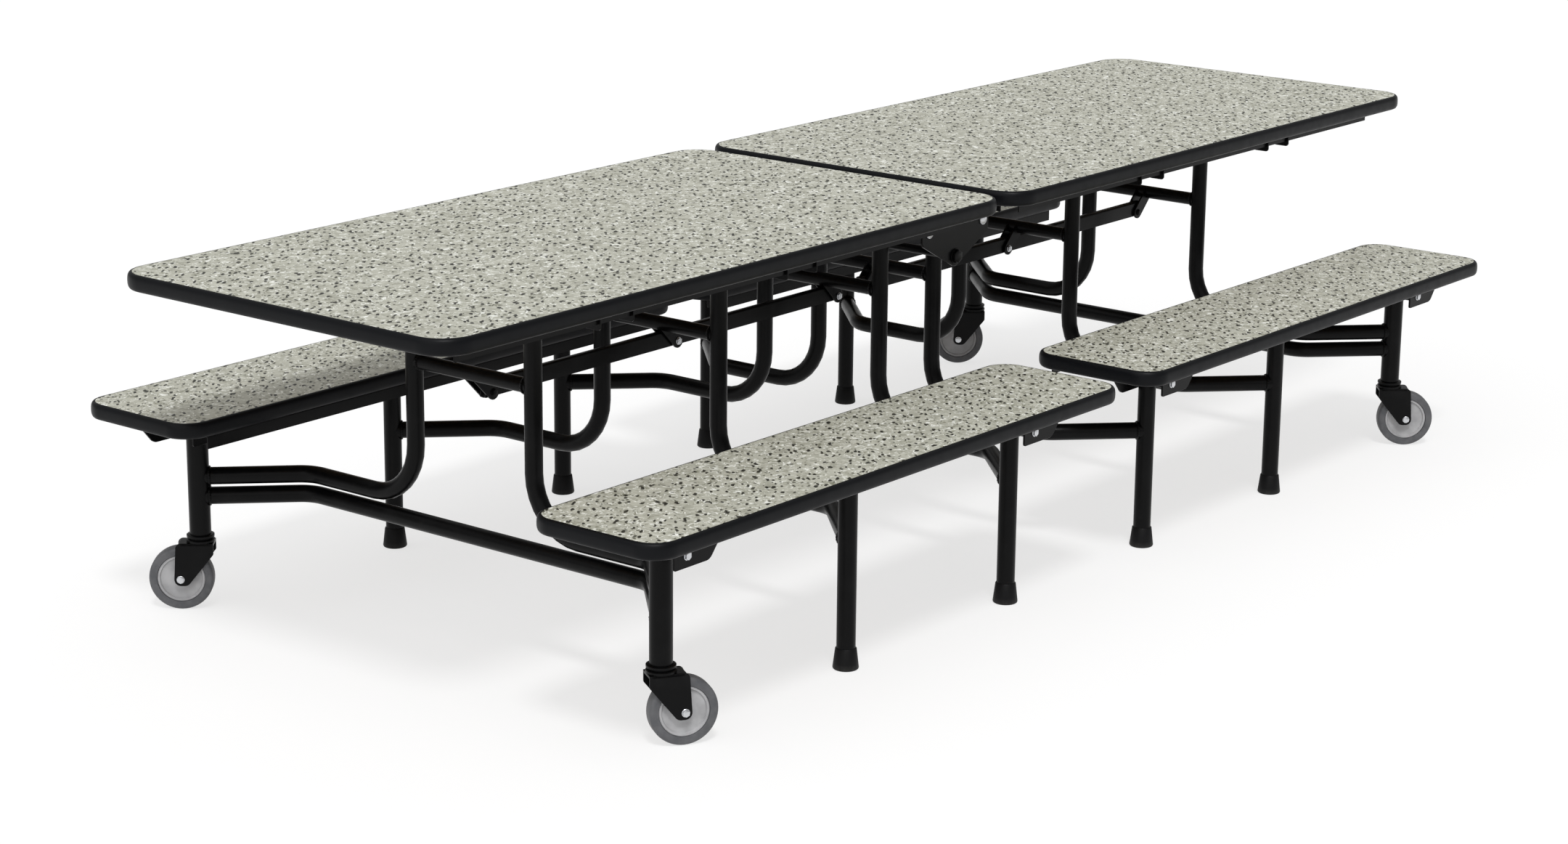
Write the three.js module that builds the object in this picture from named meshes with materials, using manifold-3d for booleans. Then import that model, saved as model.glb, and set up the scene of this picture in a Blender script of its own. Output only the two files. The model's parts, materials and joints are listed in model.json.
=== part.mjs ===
// Cafeteria folding table: two table tops and four bench boards carried on six tube frames.
// Millimetres. X runs along the table, Y across it and Z up. The origin is on the floor, under the centre.
// Both halves fold about the centre: tops, benches and spine bars swing on the frames, which stay upright.
import * as THREE from 'three';
import { mergeVertices } from 'three/addons/utils/BufferGeometryUtils.js';
import Module from 'manifold-3d';

const wasm = await Module();
wasm.setup();

// Table tops
const TOP_HEIGHT = 686;
const TOP_LENGTH = 1467;
const TOP_WIDTH = 752;
const TOP_GAP = 24;
const TOP_CORNER = 62;

// Bench boards
const BENCH_HEIGHT = 388;
const BENCH_LENGTH = 1280;
const BENCH_WIDTH = 274;
const BENCH_GAP = 90;
const BENCH_CORNER = 50;
const BENCH_TO_TOP = 11;

// Boards and their edge bands, and the gap left between pieces that touch
const BOARD_THICKNESS = 28;
const BAND_WIDTH = 8;
const BAND_ROUND = 7;
const FIT_GAP = 0.3;
const CUT_PAST = 1;

// Frames, counted outward from the centre
const INNER_NECK_X = 84;
const MIDDLE_FRAME_STEP = 468;
const OUTER_FRAME_STEP = 478;
const NECK_SPREAD = 274;
const POST_OUTSET = 140;
const POST_FROM_BENCH_MIDDLE = 11;
const TUBE_DIAMETER = 31;
const GLIDE_POST_DIAMETER = 33;
const CASTER_POST_DIAMETER = 38;
const LEVEL_TUBE_HEIGHT = 226;
const CASTER_LEVEL_TUBE_HEIGHT = 242;
const TIE_TUBE_GAP = 5;
const PLAN_BEND_PAST_TOP = 19;
const PLAN_BEND_RADIUS = 60;
const NECK_BEND_RADIUS = 100;
const CROSSBAR_DIAMETER = 26;
const CROSSBAR_BELOW_PIVOT = 122;
const POST_EDGE_ROUND = 3;
const POST_CROWN_ROUND = 12;
const POST_CROWN_GAP = 1.5;
const POST_ABOVE_PIVOT = 22;
const NECK_ABOVE_PIVOT = 14;

// Pivots of the tops, the benches and the spine bars
const TOP_PIVOT_BELOW_BOARD = 46;
const TOP_ROD_DIAMETER = 12;
const ROD_HEAD_DIAMETER = 20;
const ROD_HEAD_LENGTH = 6;
const BENCH_PIVOT_BELOW_BOARD = 35;
const BENCH_PIN_DIAMETER = 12;
const BENCH_BOLT_HEAD_DIAMETER = 16;
const BENCH_BOLT_HEAD_LENGTH = 5;
const SPACER_DIAMETER = 22;
const SPINE_PIVOT_INSET = 38;
const SPINE_PIVOT_DROP = 38;
const SPINE_PIN_DIAMETER = 10;
const SPINE_PIN_HEAD_DIAMETER = 14;
const SPINE_PIN_HEAD_LENGTH = 4;
const PIVOT_CLEARANCE = 0.4;
const SIDE_CLEARANCE = 1;

// Steel under each top
const RAIL_FROM_SIDE = 58;
const RAIL_DEPTH = 26;
const RAIL_FLANGE = 25;
const RAIL_FROM_INNER_END = 88;
const RAIL_FROM_OUTER_END = 80;
const SHEET = 3;
const CHANNEL_WIDTH = 80;
const CHANNEL_DEPTH = 16;
const END_PLATE_DEPTH = 36;
const END_PLATE_LENGTH = 30;
const END_PLATE_PAST_RAIL = 5;
const LUG_THICKNESS = 4;
const LUG_RADIUS = 18;
const LUG_TO_NECK = 2.5;

// Steel under each bench
const BENCH_RAIL_FROM_EDGE = 12;
const BENCH_RAIL_DEPTH = 24;
const BENCH_RAIL_FLANGE = 30;
const BENCH_RAIL_INSET = 60;
const BRACKET_PLATE = 4;
const BRACKET_SHORT = 30;
const BRACKET_LONG = 86;
const BRACKET_LONG_OVER_TUBE = 45;
const BRACKET_BELOW_PIVOT = 20;
const BRACKET_CORNER = 28;
const BRACKET_TO_POST = 1.5;
const BRACKET_INSIDE_WIDTH = 69.5;

// Spine bars and their lugs
const SPINE_WIDTH = 14;
const SPINE_BELOW_PIVOT = 8;
const SPINE_ABOVE_PIVOT = 22;
const SPINE_END = 15;
const SPINE_LUG_RADIUS = 13;

// Centre plates
const CENTRE_PLATE_SPREAD = 490;
const CENTRE_PLATE_THICKNESS = 5;
const CENTRE_PLATE_PAST_PIVOT = 20;
const CENTRE_PLATE_ABOVE_PIVOT = 16;
const CENTRE_PLATE_SHOULDER = 22;
const CENTRE_PLATE_LIP = 12;
const CENTRE_PLATE_LIP_THICKNESS = 4;
const TIE_ROD_DROP = 56;
const TIE_ROD_DIAMETER = 16;
const TIE_ROD_HEAD_DIAMETER = 26;
const TIE_ROD_HEAD_LENGTH = 8;
const TIE_ROD_BOSS_RADIUS = 19;

// Rubber boots of the glide posts
const BOOT_HEIGHT = 38;
const BOOT_SOLE = 8;
const BOOT_TOP_WALL = 2;
const BOOT_BOTTOM_DIAMETER = 45;
const BOOT_EDGE = 3;

// Casters
const WHEEL_DIAMETER = 114;
const TYRE_WIDTH = 28;
const TYRE_ROUND = 6;
const HUB_DIAMETER = 84;
const HUB_WIDTH = 24;
const HUB_BOSS_DIAMETER = 26;
const HUB_BOSS_WIDTH = 31;
const AXLE_DIAMETER = 10;
const AXLE_HEAD_DIAMETER = 14;
const AXLE_HEAD_LENGTH = 5;
const CASTER_TRAIL = 35;
const CASTER_TURN = -50;
const LEFT_FRONT_CASTER_TURN = -33;
const FORK_PLATE = 3;
const FORK_TO_HUB = 1;
const FORK_ABOVE_WHEEL = 4;
const FORK_WEB = 5;
const FORK_BACK = 24;
const FORK_FRONT = 42;
const FORK_BACK_DEPTH = 20;
const FORK_BOSS_RADIUS = 12;
const FORK_BOSS_FROM = -135;
const COLLAR_DIAMETER = 50;
const COLLAR_HEIGHT = 14;
const STEM_DIAMETER = 16;
const STEM_LENGTH = 40;

// Facets
const TUBE_SIDES = 8;
const PIN_SIDES = 8;
const BOOT_SIDES = 12;
const WHEEL_SIDES = 16;
const BEND_STEPS = 3;
const CORNER_STEPS = 2;
const BAND_STEPS = 1;

// Places that follow from the sizes above
const TOP_UNDERSIDE = TOP_HEIGHT - BOARD_THICKNESS;
const BENCH_UNDERSIDE = BENCH_HEIGHT - BOARD_THICKNESS;
const TOP_PIVOT_HEIGHT = TOP_UNDERSIDE - TOP_PIVOT_BELOW_BOARD;
const BENCH_PIVOT_HEIGHT = BENCH_UNDERSIDE - BENCH_PIVOT_BELOW_BOARD;
const CROSSBAR_HEIGHT = TOP_PIVOT_HEIGHT - CROSSBAR_BELOW_PIVOT;
const BENCH_INNER_Y = TOP_WIDTH / 2 + BENCH_TO_TOP;
const BENCH_OUTER_Y = BENCH_INNER_Y + BENCH_WIDTH;
const POST_Y = (BENCH_INNER_Y + BENCH_OUTER_Y) / 2 + POST_FROM_BENCH_MIDDLE;
const NECK_Y = NECK_SPREAD / 2;
const PLAN_BEND_Y = TOP_WIDTH / 2 + PLAN_BEND_PAST_TOP;
const TIE_TUBE_HEIGHT = CASTER_LEVEL_TUBE_HEIGHT - TUBE_DIAMETER - TIE_TUBE_GAP;
const SPINE_PIVOT_HEIGHT = CROSSBAR_HEIGHT - SPINE_PIVOT_DROP;
const LUG_INSIDE = TUBE_DIAMETER / 2 + LUG_TO_NECK;
const CENTRE_PLATE_Y = CENTRE_PLATE_SPREAD / 2;
const WHEEL_RADIUS = WHEEL_DIAMETER / 2;
const FORK_UNDERSIDE = WHEEL_DIAMETER + FORK_ABOVE_WHEEL;
const COLLAR_BASE = FORK_UNDERSIDE + FORK_WEB;
const CASTER_TOP = COLLAR_BASE + COLLAR_HEIGHT;

const HALVES = [['left', -1], ['right', 1]];
const ROWS = [['front', -1], ['rear', 1]];
const FRAMES = [
  { name: 'inner', neckX: INNER_NECK_X, caster: false, benchPivot: true },
  { name: 'middle', neckX: INNER_NECK_X + MIDDLE_FRAME_STEP, caster: false, benchPivot: false },
  { name: 'outer', neckX: INNER_NECK_X + MIDDLE_FRAME_STEP + OUTER_FRAME_STEP, caster: true, benchPivot: true },
];
const INNER_FRAME = FRAMES[0];
const OUTER_FRAME = FRAMES[FRAMES.length - 1];

// Materials
const paint = (color, roughness, metalness) => new THREE.MeshStandardMaterial({ color, roughness, metalness });
const LAMINATE = paint(0xb9bba9, 0.45, 0);
const BAND = paint(0x15171b, 0.35, 0);
const POWDER_COAT = paint(0x17181a, 0.42, 0.3);
const ZINC = paint(0xb8babd, 0.3, 0.9);
const RUBBER = paint(0x101112, 0.7, 0);
const TYRE = paint(0x55565a, 0.6, 0);
const HUB = paint(0xa2a2a4, 0.45, 0);

// A closed three.js geometry as a solid that can be joined and cut
function solid(geometry) {
  geometry.deleteAttribute('normal');
  geometry.deleteAttribute('uv');
  const merged = mergeVertices(geometry);
  const vertProperties = merged.attributes.position.array;
  const triVerts = Uint32Array.from(merged.index.array);
  return new wasm.Manifold(new wasm.Mesh({ numProp: 3, vertProperties, triVerts }));
}

function named(name, body, material) {
  const { vertProperties, triVerts } = body.getMesh();
  const geometry = new THREE.BufferGeometry();
  geometry.setAttribute('position', new THREE.BufferAttribute(Float32Array.from(vertProperties), 3));
  geometry.setIndex(Array.from(triVerts));
  geometry.computeVertexNormals();
  const mesh = new THREE.Mesh(geometry, material);
  mesh.name = name;
  return mesh;
}

const joined = (bodies) => bodies.reduce((whole, body) => whole.add(body));
const ordered = (a, b) => (a < b ? [a, b] : [b, a]);

// A box between two values on each axis, given in either order
function block(xs, ys, zs) {
  const [[x0, x1], [y0, y1], [z0, z1]] = [xs, ys, zs].map(([a, b]) => ordered(a, b));
  const geometry = new THREE.BoxGeometry(x1 - x0, y1 - y0, z1 - z0);
  geometry.translate((x0 + x1) / 2, (y0 + y1) / 2, (z0 + z1) / 2);
  return solid(geometry);
}

// A round bar between two points
function bar(radius, from, to, sides = TUBE_SIDES) {
  const along = to.clone().sub(from);
  const geometry = new THREE.CylinderGeometry(radius, radius, along.length(), sides);
  const turn = new THREE.Quaternion().setFromUnitVectors(new THREE.Vector3(0, 1, 0), along.clone().normalize());
  geometry.applyQuaternion(turn);
  const middle = from.clone().add(to).multiplyScalar(0.5);
  geometry.translate(middle.x, middle.y, middle.z);
  return solid(geometry);
}

// The corner radius of a faceted hole that a round pin with some clearance can turn in
const holeRadius = (pinDiameter, clearance, sides = PIN_SIDES) =>
  (pinDiameter / 2 + clearance) / Math.cos(Math.PI / sides);

// A pin or hole along Y, at one X and Z
function crossBar(radius, x, z, [y0, y1], sides = PIN_SIDES) {
  return bar(radius, new THREE.Vector3(x, y0, z), new THREE.Vector3(x, y1, z), sides);
}

// A profile of radius and height turned about the vertical axis
function turned(profile, sides = TUBE_SIDES) {
  const points = profile.map(([radius, height]) => new THREE.Vector2(radius, height));
  const geometry = new THREE.LatheGeometry(points, sides);
  geometry.rotateX(Math.PI / 2);
  return solid(geometry);
}

// A curve whose spaced points are the given points, so that straight runs take one step
class PointPath extends THREE.Curve {
  constructor(points) {
    super();
    this.points = points;
  }

  getPointAt(share) {
    return this.points[Math.round(share * (this.points.length - 1))].clone();
  }

  getTangentAt(share, target = new THREE.Vector3()) {
    const index = Math.round(share * (this.points.length - 1));
    const before = this.points[Math.max(index - 1, 0)];
    const after = this.points[Math.min(index + 1, this.points.length - 1)];
    return target.copy(after).sub(before).normalize();
  }
}

// The points of a bend of one radius at a corner, between the runs before and after it
function bendPoints(before, corner, after, radius) {
  const inward = corner.clone().sub(before).normalize();
  const outward = after.clone().sub(corner).normalize();
  const angle = inward.angleTo(outward);
  const setback = radius * Math.tan(angle / 2);
  const start = corner.clone().addScaledVector(inward, -setback);
  const end = corner.clone().addScaledVector(outward, setback);
  const toCentre = outward.clone().sub(inward).normalize().multiplyScalar(radius / Math.cos(angle / 2));
  const centre = corner.clone().add(toCentre);
  const first = start.clone().sub(centre);
  const last = end.clone().sub(centre);
  return Array.from({ length: BEND_STEPS + 1 }, (_, step) => {
    const share = step / BEND_STEPS;
    const weight = Math.sin((1 - share) * angle) / Math.sin(angle);
    const otherWeight = Math.sin(share * angle) / Math.sin(angle);
    return centre.clone().addScaledVector(first, weight).addScaledVector(last, otherWeight);
  });
}

// A round tube through corner points, with one bend radius for each corner between the ends
function bentTube(corners, radii, diameter) {
  const bends = radii.map((radius, i) => bendPoints(corners[i], corners[i + 1], corners[i + 2], radius));
  const points = [corners[0], ...bends.flat(), corners[corners.length - 1]];
  const circle = Array.from({ length: TUBE_SIDES }, (_, i) => {
    const angle = (2 * Math.PI * i) / TUBE_SIDES;
    return new THREE.Vector2(Math.cos(angle), Math.sin(angle)).multiplyScalar(diameter / 2);
  });
  const extrudePath = new PointPath(points);
  const options = { steps: points.length - 1, bevelEnabled: false, extrudePath };
  return solid(new THREE.ExtrudeGeometry(new THREE.Shape(circle), options));
}

// A shape drawn in X and Z, as a plate between two values of Y
function uprightPlate(shape, ys) {
  const [y0, y1] = ordered(...ys);
  const options = { depth: y1 - y0, bevelEnabled: false, curveSegments: CORNER_STEPS };
  const geometry = new THREE.ExtrudeGeometry(shape, options);
  geometry.rotateX(Math.PI / 2);
  geometry.translate(0, y1, 0);
  return solid(geometry);
}

function roundedRectangle([x0, x1], [y0, y1], radius) {
  const shape = new THREE.Shape();
  shape.absarc(x1 - radius, y1 - radius, radius, 0, Math.PI / 2, false);
  shape.absarc(x0 + radius, y1 - radius, radius, Math.PI / 2, Math.PI, false);
  shape.absarc(x0 + radius, y0 + radius, radius, Math.PI, 1.5 * Math.PI, false);
  shape.absarc(x1 - radius, y0 + radius, radius, 1.5 * Math.PI, 2 * Math.PI, false);
  shape.closePath();
  return shape;
}

// A level slab with rounded corners, cut back from its outline by an inset
function roundedSlab(xs, ys, zs, corner, inset) {
  const [x0, x1] = ordered(...xs);
  const [y0, y1] = ordered(...ys);
  const shape = roundedRectangle([x0 + inset, x1 - inset], [y0 + inset, y1 - inset], corner - inset);
  const options = { depth: zs[1] - zs[0], bevelEnabled: false, curveSegments: CORNER_STEPS };
  const geometry = new THREE.ExtrudeGeometry(shape, options);
  geometry.translate(0, 0, zs[0]);
  return solid(geometry);
}

// The edge band round a board: a slab with rounded edges, less the board and its fit
function edgeBand(xs, ys, zs, corner) {
  const [x0, x1] = ordered(...xs);
  const [y0, y1] = ordered(...ys);
  const shape = roundedRectangle([x0, x1], [y0, y1], corner);
  const geometry = new THREE.ExtrudeGeometry(shape, {
    depth: zs[1] - zs[0] - 2 * BAND_ROUND,
    bevelThickness: BAND_ROUND,
    bevelSize: BAND_ROUND,
    bevelOffset: -BAND_ROUND,
    bevelSegments: BAND_STEPS,
    curveSegments: CORNER_STEPS,
  });
  geometry.translate(0, 0, zs[0] + BAND_ROUND);
  const hollow = roundedSlab(xs, ys, [zs[0] - CUT_PAST, zs[1] + CUT_PAST], corner, BAND_WIDTH);
  return solid(geometry).subtract(hollow);
}

// A plate round two points of X and Z, with round ends
function roundEndedPlate([xa, za], [xb, zb], radius, ys) {
  const along = Math.atan2(zb - za, xb - xa);
  const shape = new THREE.Shape();
  shape.absarc(xb, zb, radius, along - Math.PI / 2, along + Math.PI / 2, false);
  shape.absarc(xa, za, radius, along + Math.PI / 2, along + 1.5 * Math.PI, false);
  shape.closePath();
  return uprightPlate(shape, ys);
}

// A rod along Y with a head at each end, at one X and Z
function headedRod(x, z, halfLength, diameter, headDiameter, headLength) {
  const rod = crossBar(diameter / 2, x, z, [-halfLength - headLength, halfLength + headLength]);
  const heads = [-1, 1].map((end) =>
    crossBar(headDiameter / 2, x, z, [end * halfLength, end * (halfLength + headLength)]));
  return joined([rod, ...heads]);
}

const postX = (side, frame) => side * (frame.neckX + POST_OUTSET);
const postDiameter = (frame) => (frame.caster ? CASTER_POST_DIAMETER : GLIDE_POST_DIAMETER);
const spinePivotX = (side, frame) => side * (frame.neckX - SPINE_PIVOT_INSET);

// One upright post, with its hole for the bench bolt and, over a caster, its socket for the stem
function post(side, row, frame) {
  const radius = postDiameter(frame) / 2;
  const foot = (frame.caster ? CASTER_TOP : BOOT_SOLE) + FIT_GAP;
  const head = frame.benchPivot ? BENCH_PIVOT_HEIGHT + POST_ABOVE_PIVOT : BENCH_UNDERSIDE - POST_CROWN_GAP;
  const round = frame.benchPivot ? POST_EDGE_ROUND : POST_CROWN_ROUND;
  const crown = Array.from({ length: CORNER_STEPS + 1 }, (_, step) => {
    const angle = (Math.PI / 2) * (step / CORNER_STEPS);
    return [radius - round + round * Math.cos(angle), head - round + round * Math.sin(angle)];
  });
  const x = postX(side, frame);
  const y = row * POST_Y;
  let body = turned([[0, foot], [radius, foot], ...crown, [0, head]]).translate([x, y, 0]);
  if (frame.benchPivot) {
    const hole = holeRadius(BENCH_PIN_DIAMETER, PIVOT_CLEARANCE);
    body = body.subtract(crossBar(hole, x, BENCH_PIVOT_HEIGHT, [y - 2 * radius, y + 2 * radius]));
  }
  if (frame.caster) {
    const socket = holeRadius(STEM_DIAMETER, PIVOT_CLEARANCE, TUBE_SIDES);
    const below = new THREE.Vector3(x, y, foot - CUT_PAST);
    const above = new THREE.Vector3(x, y, CASTER_TOP + STEM_LENGTH + FIT_GAP);
    body = body.subtract(bar(socket, below, above));
  }
  return body;
}

// The tube from one post: slantwise towards the centre, across under the top, and up as a swan neck
function swanNeck(side, row, frame) {
  const level = frame.caster ? CASTER_LEVEL_TUBE_HEIGHT : LEVEL_TUBE_HEIGHT;
  const x = side * frame.neckX;
  const corners = [
    new THREE.Vector3(postX(side, frame), row * POST_Y, level),
    new THREE.Vector3(x, row * PLAN_BEND_Y, level),
    new THREE.Vector3(x, row * NECK_Y, level),
    new THREE.Vector3(x, row * NECK_Y, TOP_PIVOT_HEIGHT + NECK_ABOVE_PIVOT),
  ];
  return bentTube(corners, [PLAN_BEND_RADIUS, NECK_BEND_RADIUS], TUBE_DIAMETER);
}

// The lower tube that ties the two caster posts, along the same plan as the tubes above it
function tieTube(side, frame) {
  const x = side * frame.neckX;
  const corners = [
    new THREE.Vector3(postX(side, frame), -POST_Y, TIE_TUBE_HEIGHT),
    new THREE.Vector3(x, -PLAN_BEND_Y, TIE_TUBE_HEIGHT),
    new THREE.Vector3(x, PLAN_BEND_Y, TIE_TUBE_HEIGHT),
    new THREE.Vector3(postX(side, frame), POST_Y, TIE_TUBE_HEIGHT),
  ];
  return bentTube(corners, [PLAN_BEND_RADIUS, PLAN_BEND_RADIUS], TUBE_DIAMETER);
}

// The lug under the crossbar: two plates and the pin that the spine bar swings on
function spineLug(side, frame) {
  const pivotX = spinePivotX(side, frame);
  const inside = SPINE_WIDTH / 2 + SIDE_CLEARANCE;
  const outside = inside + LUG_THICKNESS;
  const plates = [-1, 1].map((face) =>
    roundEndedPlate(
      [side * frame.neckX, CROSSBAR_HEIGHT],
      [pivotX, SPINE_PIVOT_HEIGHT],
      SPINE_LUG_RADIUS,
      [face * inside, face * outside],
    ));
  const pin = headedRod(
    pivotX, SPINE_PIVOT_HEIGHT, outside, SPINE_PIN_DIAMETER, SPINE_PIN_HEAD_DIAMETER, SPINE_PIN_HEAD_LENGTH);
  return joined([...plates, pin]);
}

// One welded frame: two posts, two swan necks, the crossbar with its lug and, over casters, the tie tube
function weldedFrame(side, frame) {
  const x = side * frame.neckX;
  const legs = ROWS.flatMap(([, row]) => [post(side, row, frame), swanNeck(side, row, frame)]);
  const crossbar = crossBar(CROSSBAR_DIAMETER / 2, x, CROSSBAR_HEIGHT, [-NECK_Y, NECK_Y], TUBE_SIDES);
  const ties = frame.caster ? [tieTube(side, frame)] : [];
  const rodHole = holeRadius(TOP_ROD_DIAMETER, FIT_GAP);
  const bore = crossBar(rodHole, x, TOP_PIVOT_HEIGHT, [-NECK_SPREAD, NECK_SPREAD]);
  return joined([...legs, crossbar, spineLug(side, frame), ...ties]).subtract(bore);
}

// The rod through two neck tops that one top swings on; the inner one also carries the centre plates
function pivotRod(side, frame) {
  const pastLugs = NECK_Y + LUG_INSIDE + LUG_THICKNESS;
  const pastPlates = CENTRE_PLATE_Y + CENTRE_PLATE_THICKNESS / 2;
  const reach = (frame === INNER_FRAME ? pastPlates : pastLugs) + FIT_GAP;
  return headedRod(
    side * frame.neckX, TOP_PIVOT_HEIGHT, reach, TOP_ROD_DIAMETER, ROD_HEAD_DIAMETER, ROD_HEAD_LENGTH);
}

// A rubber boot round the foot of a glide post
function boot(side, row, frame) {
  const bore = holeRadius(GLIDE_POST_DIAMETER, FIT_GAP, BOOT_SIDES);
  const bottom = BOOT_BOTTOM_DIAMETER / 2;
  const profile = [
    [0, 0],
    [bottom - BOOT_EDGE, 0],
    [bottom, BOOT_EDGE],
    [bore + BOOT_TOP_WALL, BOOT_HEIGHT],
    [bore, BOOT_HEIGHT],
    [bore, BOOT_SOLE],
    [0, BOOT_SOLE],
  ];
  return turned(profile, BOOT_SIDES).translate([postX(side, frame), row * POST_Y, 0]);
}

const topXs = (side) => [side * TOP_GAP / 2, side * (TOP_GAP / 2 + TOP_LENGTH)];
const topYs = [-TOP_WIDTH / 2, TOP_WIDTH / 2];
const topZs = [TOP_UNDERSIDE, TOP_HEIGHT];
const benchXs = (side) => [side * BENCH_GAP / 2, side * (BENCH_GAP / 2 + BENCH_LENGTH)];
const benchYs = (row) => [row * BENCH_INNER_Y, row * BENCH_OUTER_Y];
const benchZs = [BENCH_UNDERSIDE, BENCH_HEIGHT];
const BOARD_INSET = BAND_WIDTH + FIT_GAP;

// One ear that hangs from a channel to the pivot rod, with its hole
function topLug(x, ys) {
  const top = TOP_UNDERSIDE - FIT_GAP;
  const bottom = TOP_PIVOT_HEIGHT - LUG_RADIUS;
  const outline = [
    [-LUG_RADIUS, top],
    [-LUG_RADIUS, TOP_PIVOT_HEIGHT],
    [-LUG_RADIUS / 2, bottom],
    [LUG_RADIUS / 2, bottom],
    [LUG_RADIUS, TOP_PIVOT_HEIGHT],
    [LUG_RADIUS, top],
  ];
  const shape = new THREE.Shape(outline.map(([across, height]) => new THREE.Vector2(x + across, height)));
  const ear = uprightPlate(shape, ys);
  const hole = holeRadius(TOP_ROD_DIAMETER, PIVOT_CLEARANCE);
  const [y0, y1] = ordered(...ys);
  return ear.subtract(crossBar(hole, x, TOP_PIVOT_HEIGHT, [y0 - CUT_PAST, y1 + CUT_PAST]));
}

// The steel under one top: two long rails, a channel over each frame, and ears down to the pivot rods
function topUnderframe(side) {
  const seat = TOP_UNDERSIDE - FIT_GAP;
  const railY = TOP_WIDTH / 2 - RAIL_FROM_SIDE;
  const [innerX, outerX] = topXs(side);
  const railXs = [innerX + side * RAIL_FROM_INNER_END, outerX - side * RAIL_FROM_OUTER_END];
  const rails = ROWS.flatMap(([, row]) => [
    block(railXs, [row * railY, row * (railY - SHEET)], [seat - RAIL_DEPTH, seat]),
    block(railXs, [row * railY, row * (railY - RAIL_FLANGE)], [seat - SHEET, seat]),
  ]);
  const channels = FRAMES.map((frame) => {
    const x = side * frame.neckX;
    const half = CHANNEL_WIDTH / 2;
    const inside = half - SHEET;
    const outer = block([x - half, x + half], [-railY, railY], [seat - CHANNEL_DEPTH, seat]);
    const hollow = block([x - inside, x + inside], [-railY - CUT_PAST, railY + CUT_PAST], [0, seat - SHEET]);
    return outer.subtract(hollow);
  });
  // Plates stiffen the ends of the channels over the frames that swing, and hang below the rails
  const endPlates = FRAMES.filter((frame) => frame !== INNER_FRAME).flatMap((frame) =>
    ROWS.flatMap(([, row]) => [-1, 1].map((face) => {
      const outside = side * frame.neckX + face * CHANNEL_WIDTH / 2;
      const ys = [row * (railY - END_PLATE_LENGTH), row * (railY + END_PLATE_PAST_RAIL)];
      return block([outside - SHEET / 2, outside + SHEET / 2], ys, [seat - END_PLATE_DEPTH, seat - SHEET / 2]);
    })));
  const lugs = FRAMES.flatMap((frame) => ROWS.flatMap(([, row]) => [-1, 1].map((face) => {
    const near = row * NECK_Y + face * LUG_INSIDE;
    return topLug(side * frame.neckX, [near, near + face * LUG_THICKNESS]);
  })));
  return joined([...channels, ...endPlates, ...rails, ...lugs]);
}

// One plate of a bench bracket, from its square end past the bolt to its round corner
function bracketPlate(x, reach, ys) {
  const top = BENCH_UNDERSIDE - FIT_GAP;
  const bottom = BENCH_PIVOT_HEIGHT - BRACKET_BELOW_PIVOT;
  const toward = Math.sign(reach);
  const square = x - toward * BRACKET_SHORT;
  const end = x + reach;
  const centre = end - toward * BRACKET_CORNER;
  const shape = new THREE.Shape();
  shape.moveTo(square, top);
  shape.lineTo(square, bottom);
  if (toward > 0) shape.absarc(centre, bottom + BRACKET_CORNER, BRACKET_CORNER, -Math.PI / 2, 0, false);
  else shape.absarc(centre, bottom + BRACKET_CORNER, BRACKET_CORNER, -Math.PI / 2, -Math.PI, true);
  shape.lineTo(end, top);
  shape.closePath();
  return uprightPlate(shape, ys);
}

// The bracket over one post: a web under the board, two opposed plates and the bolt that the bench swings on
function benchBracket(side, row, frame) {
  const x = postX(side, frame);
  const inner = POST_Y - CASTER_POST_DIAMETER / 2 - BRACKET_TO_POST;
  const outer = inner + BRACKET_INSIDE_WIDTH;
  const innerFace = inner - BRACKET_PLATE;
  const outerFace = outer + BRACKET_PLATE;
  // The plate on the -Y side runs long towards +X and the other towards -X; an inner plate that swings
  // down over the post's level tube is cut shorter.
  const innerReach = row * side > 0 ? row * BRACKET_LONG_OVER_TUBE : row * BRACKET_LONG;
  const plates = [
    bracketPlate(x, innerReach, [row * inner, row * innerFace]),
    bracketPlate(x, -row * BRACKET_LONG, [row * outer, row * outerFace]),
  ];
  const seat = BENCH_UNDERSIDE - FIT_GAP;
  const railY = BENCH_INNER_Y + BENCH_RAIL_FROM_EDGE;
  const web = block([x - BRACKET_LONG, x + BRACKET_LONG], [row * railY, row * outerFace], [seat - SHEET, seat]);
  const spread = [innerFace - BENCH_BOLT_HEAD_LENGTH, outerFace + BENCH_BOLT_HEAD_LENGTH];
  const bolt = crossBar(BENCH_PIN_DIAMETER / 2, x, BENCH_PIVOT_HEIGHT, spread.map((y) => row * y));
  const head = BENCH_BOLT_HEAD_DIAMETER / 2;
  const heads = [[innerFace, spread[0]], [outerFace, spread[1]]].map((ys) =>
    crossBar(head, x, BENCH_PIVOT_HEIGHT, ys.map((y) => row * y)));
  const spacerFrom = POST_Y + postDiameter(frame) / 2 + SIDE_CLEARANCE;
  const spacer = crossBar(SPACER_DIAMETER / 2, x, BENCH_PIVOT_HEIGHT, [row * spacerFrom, row * outer]);
  return joined([web, ...plates, bolt, ...heads, spacer]);
}

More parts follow.
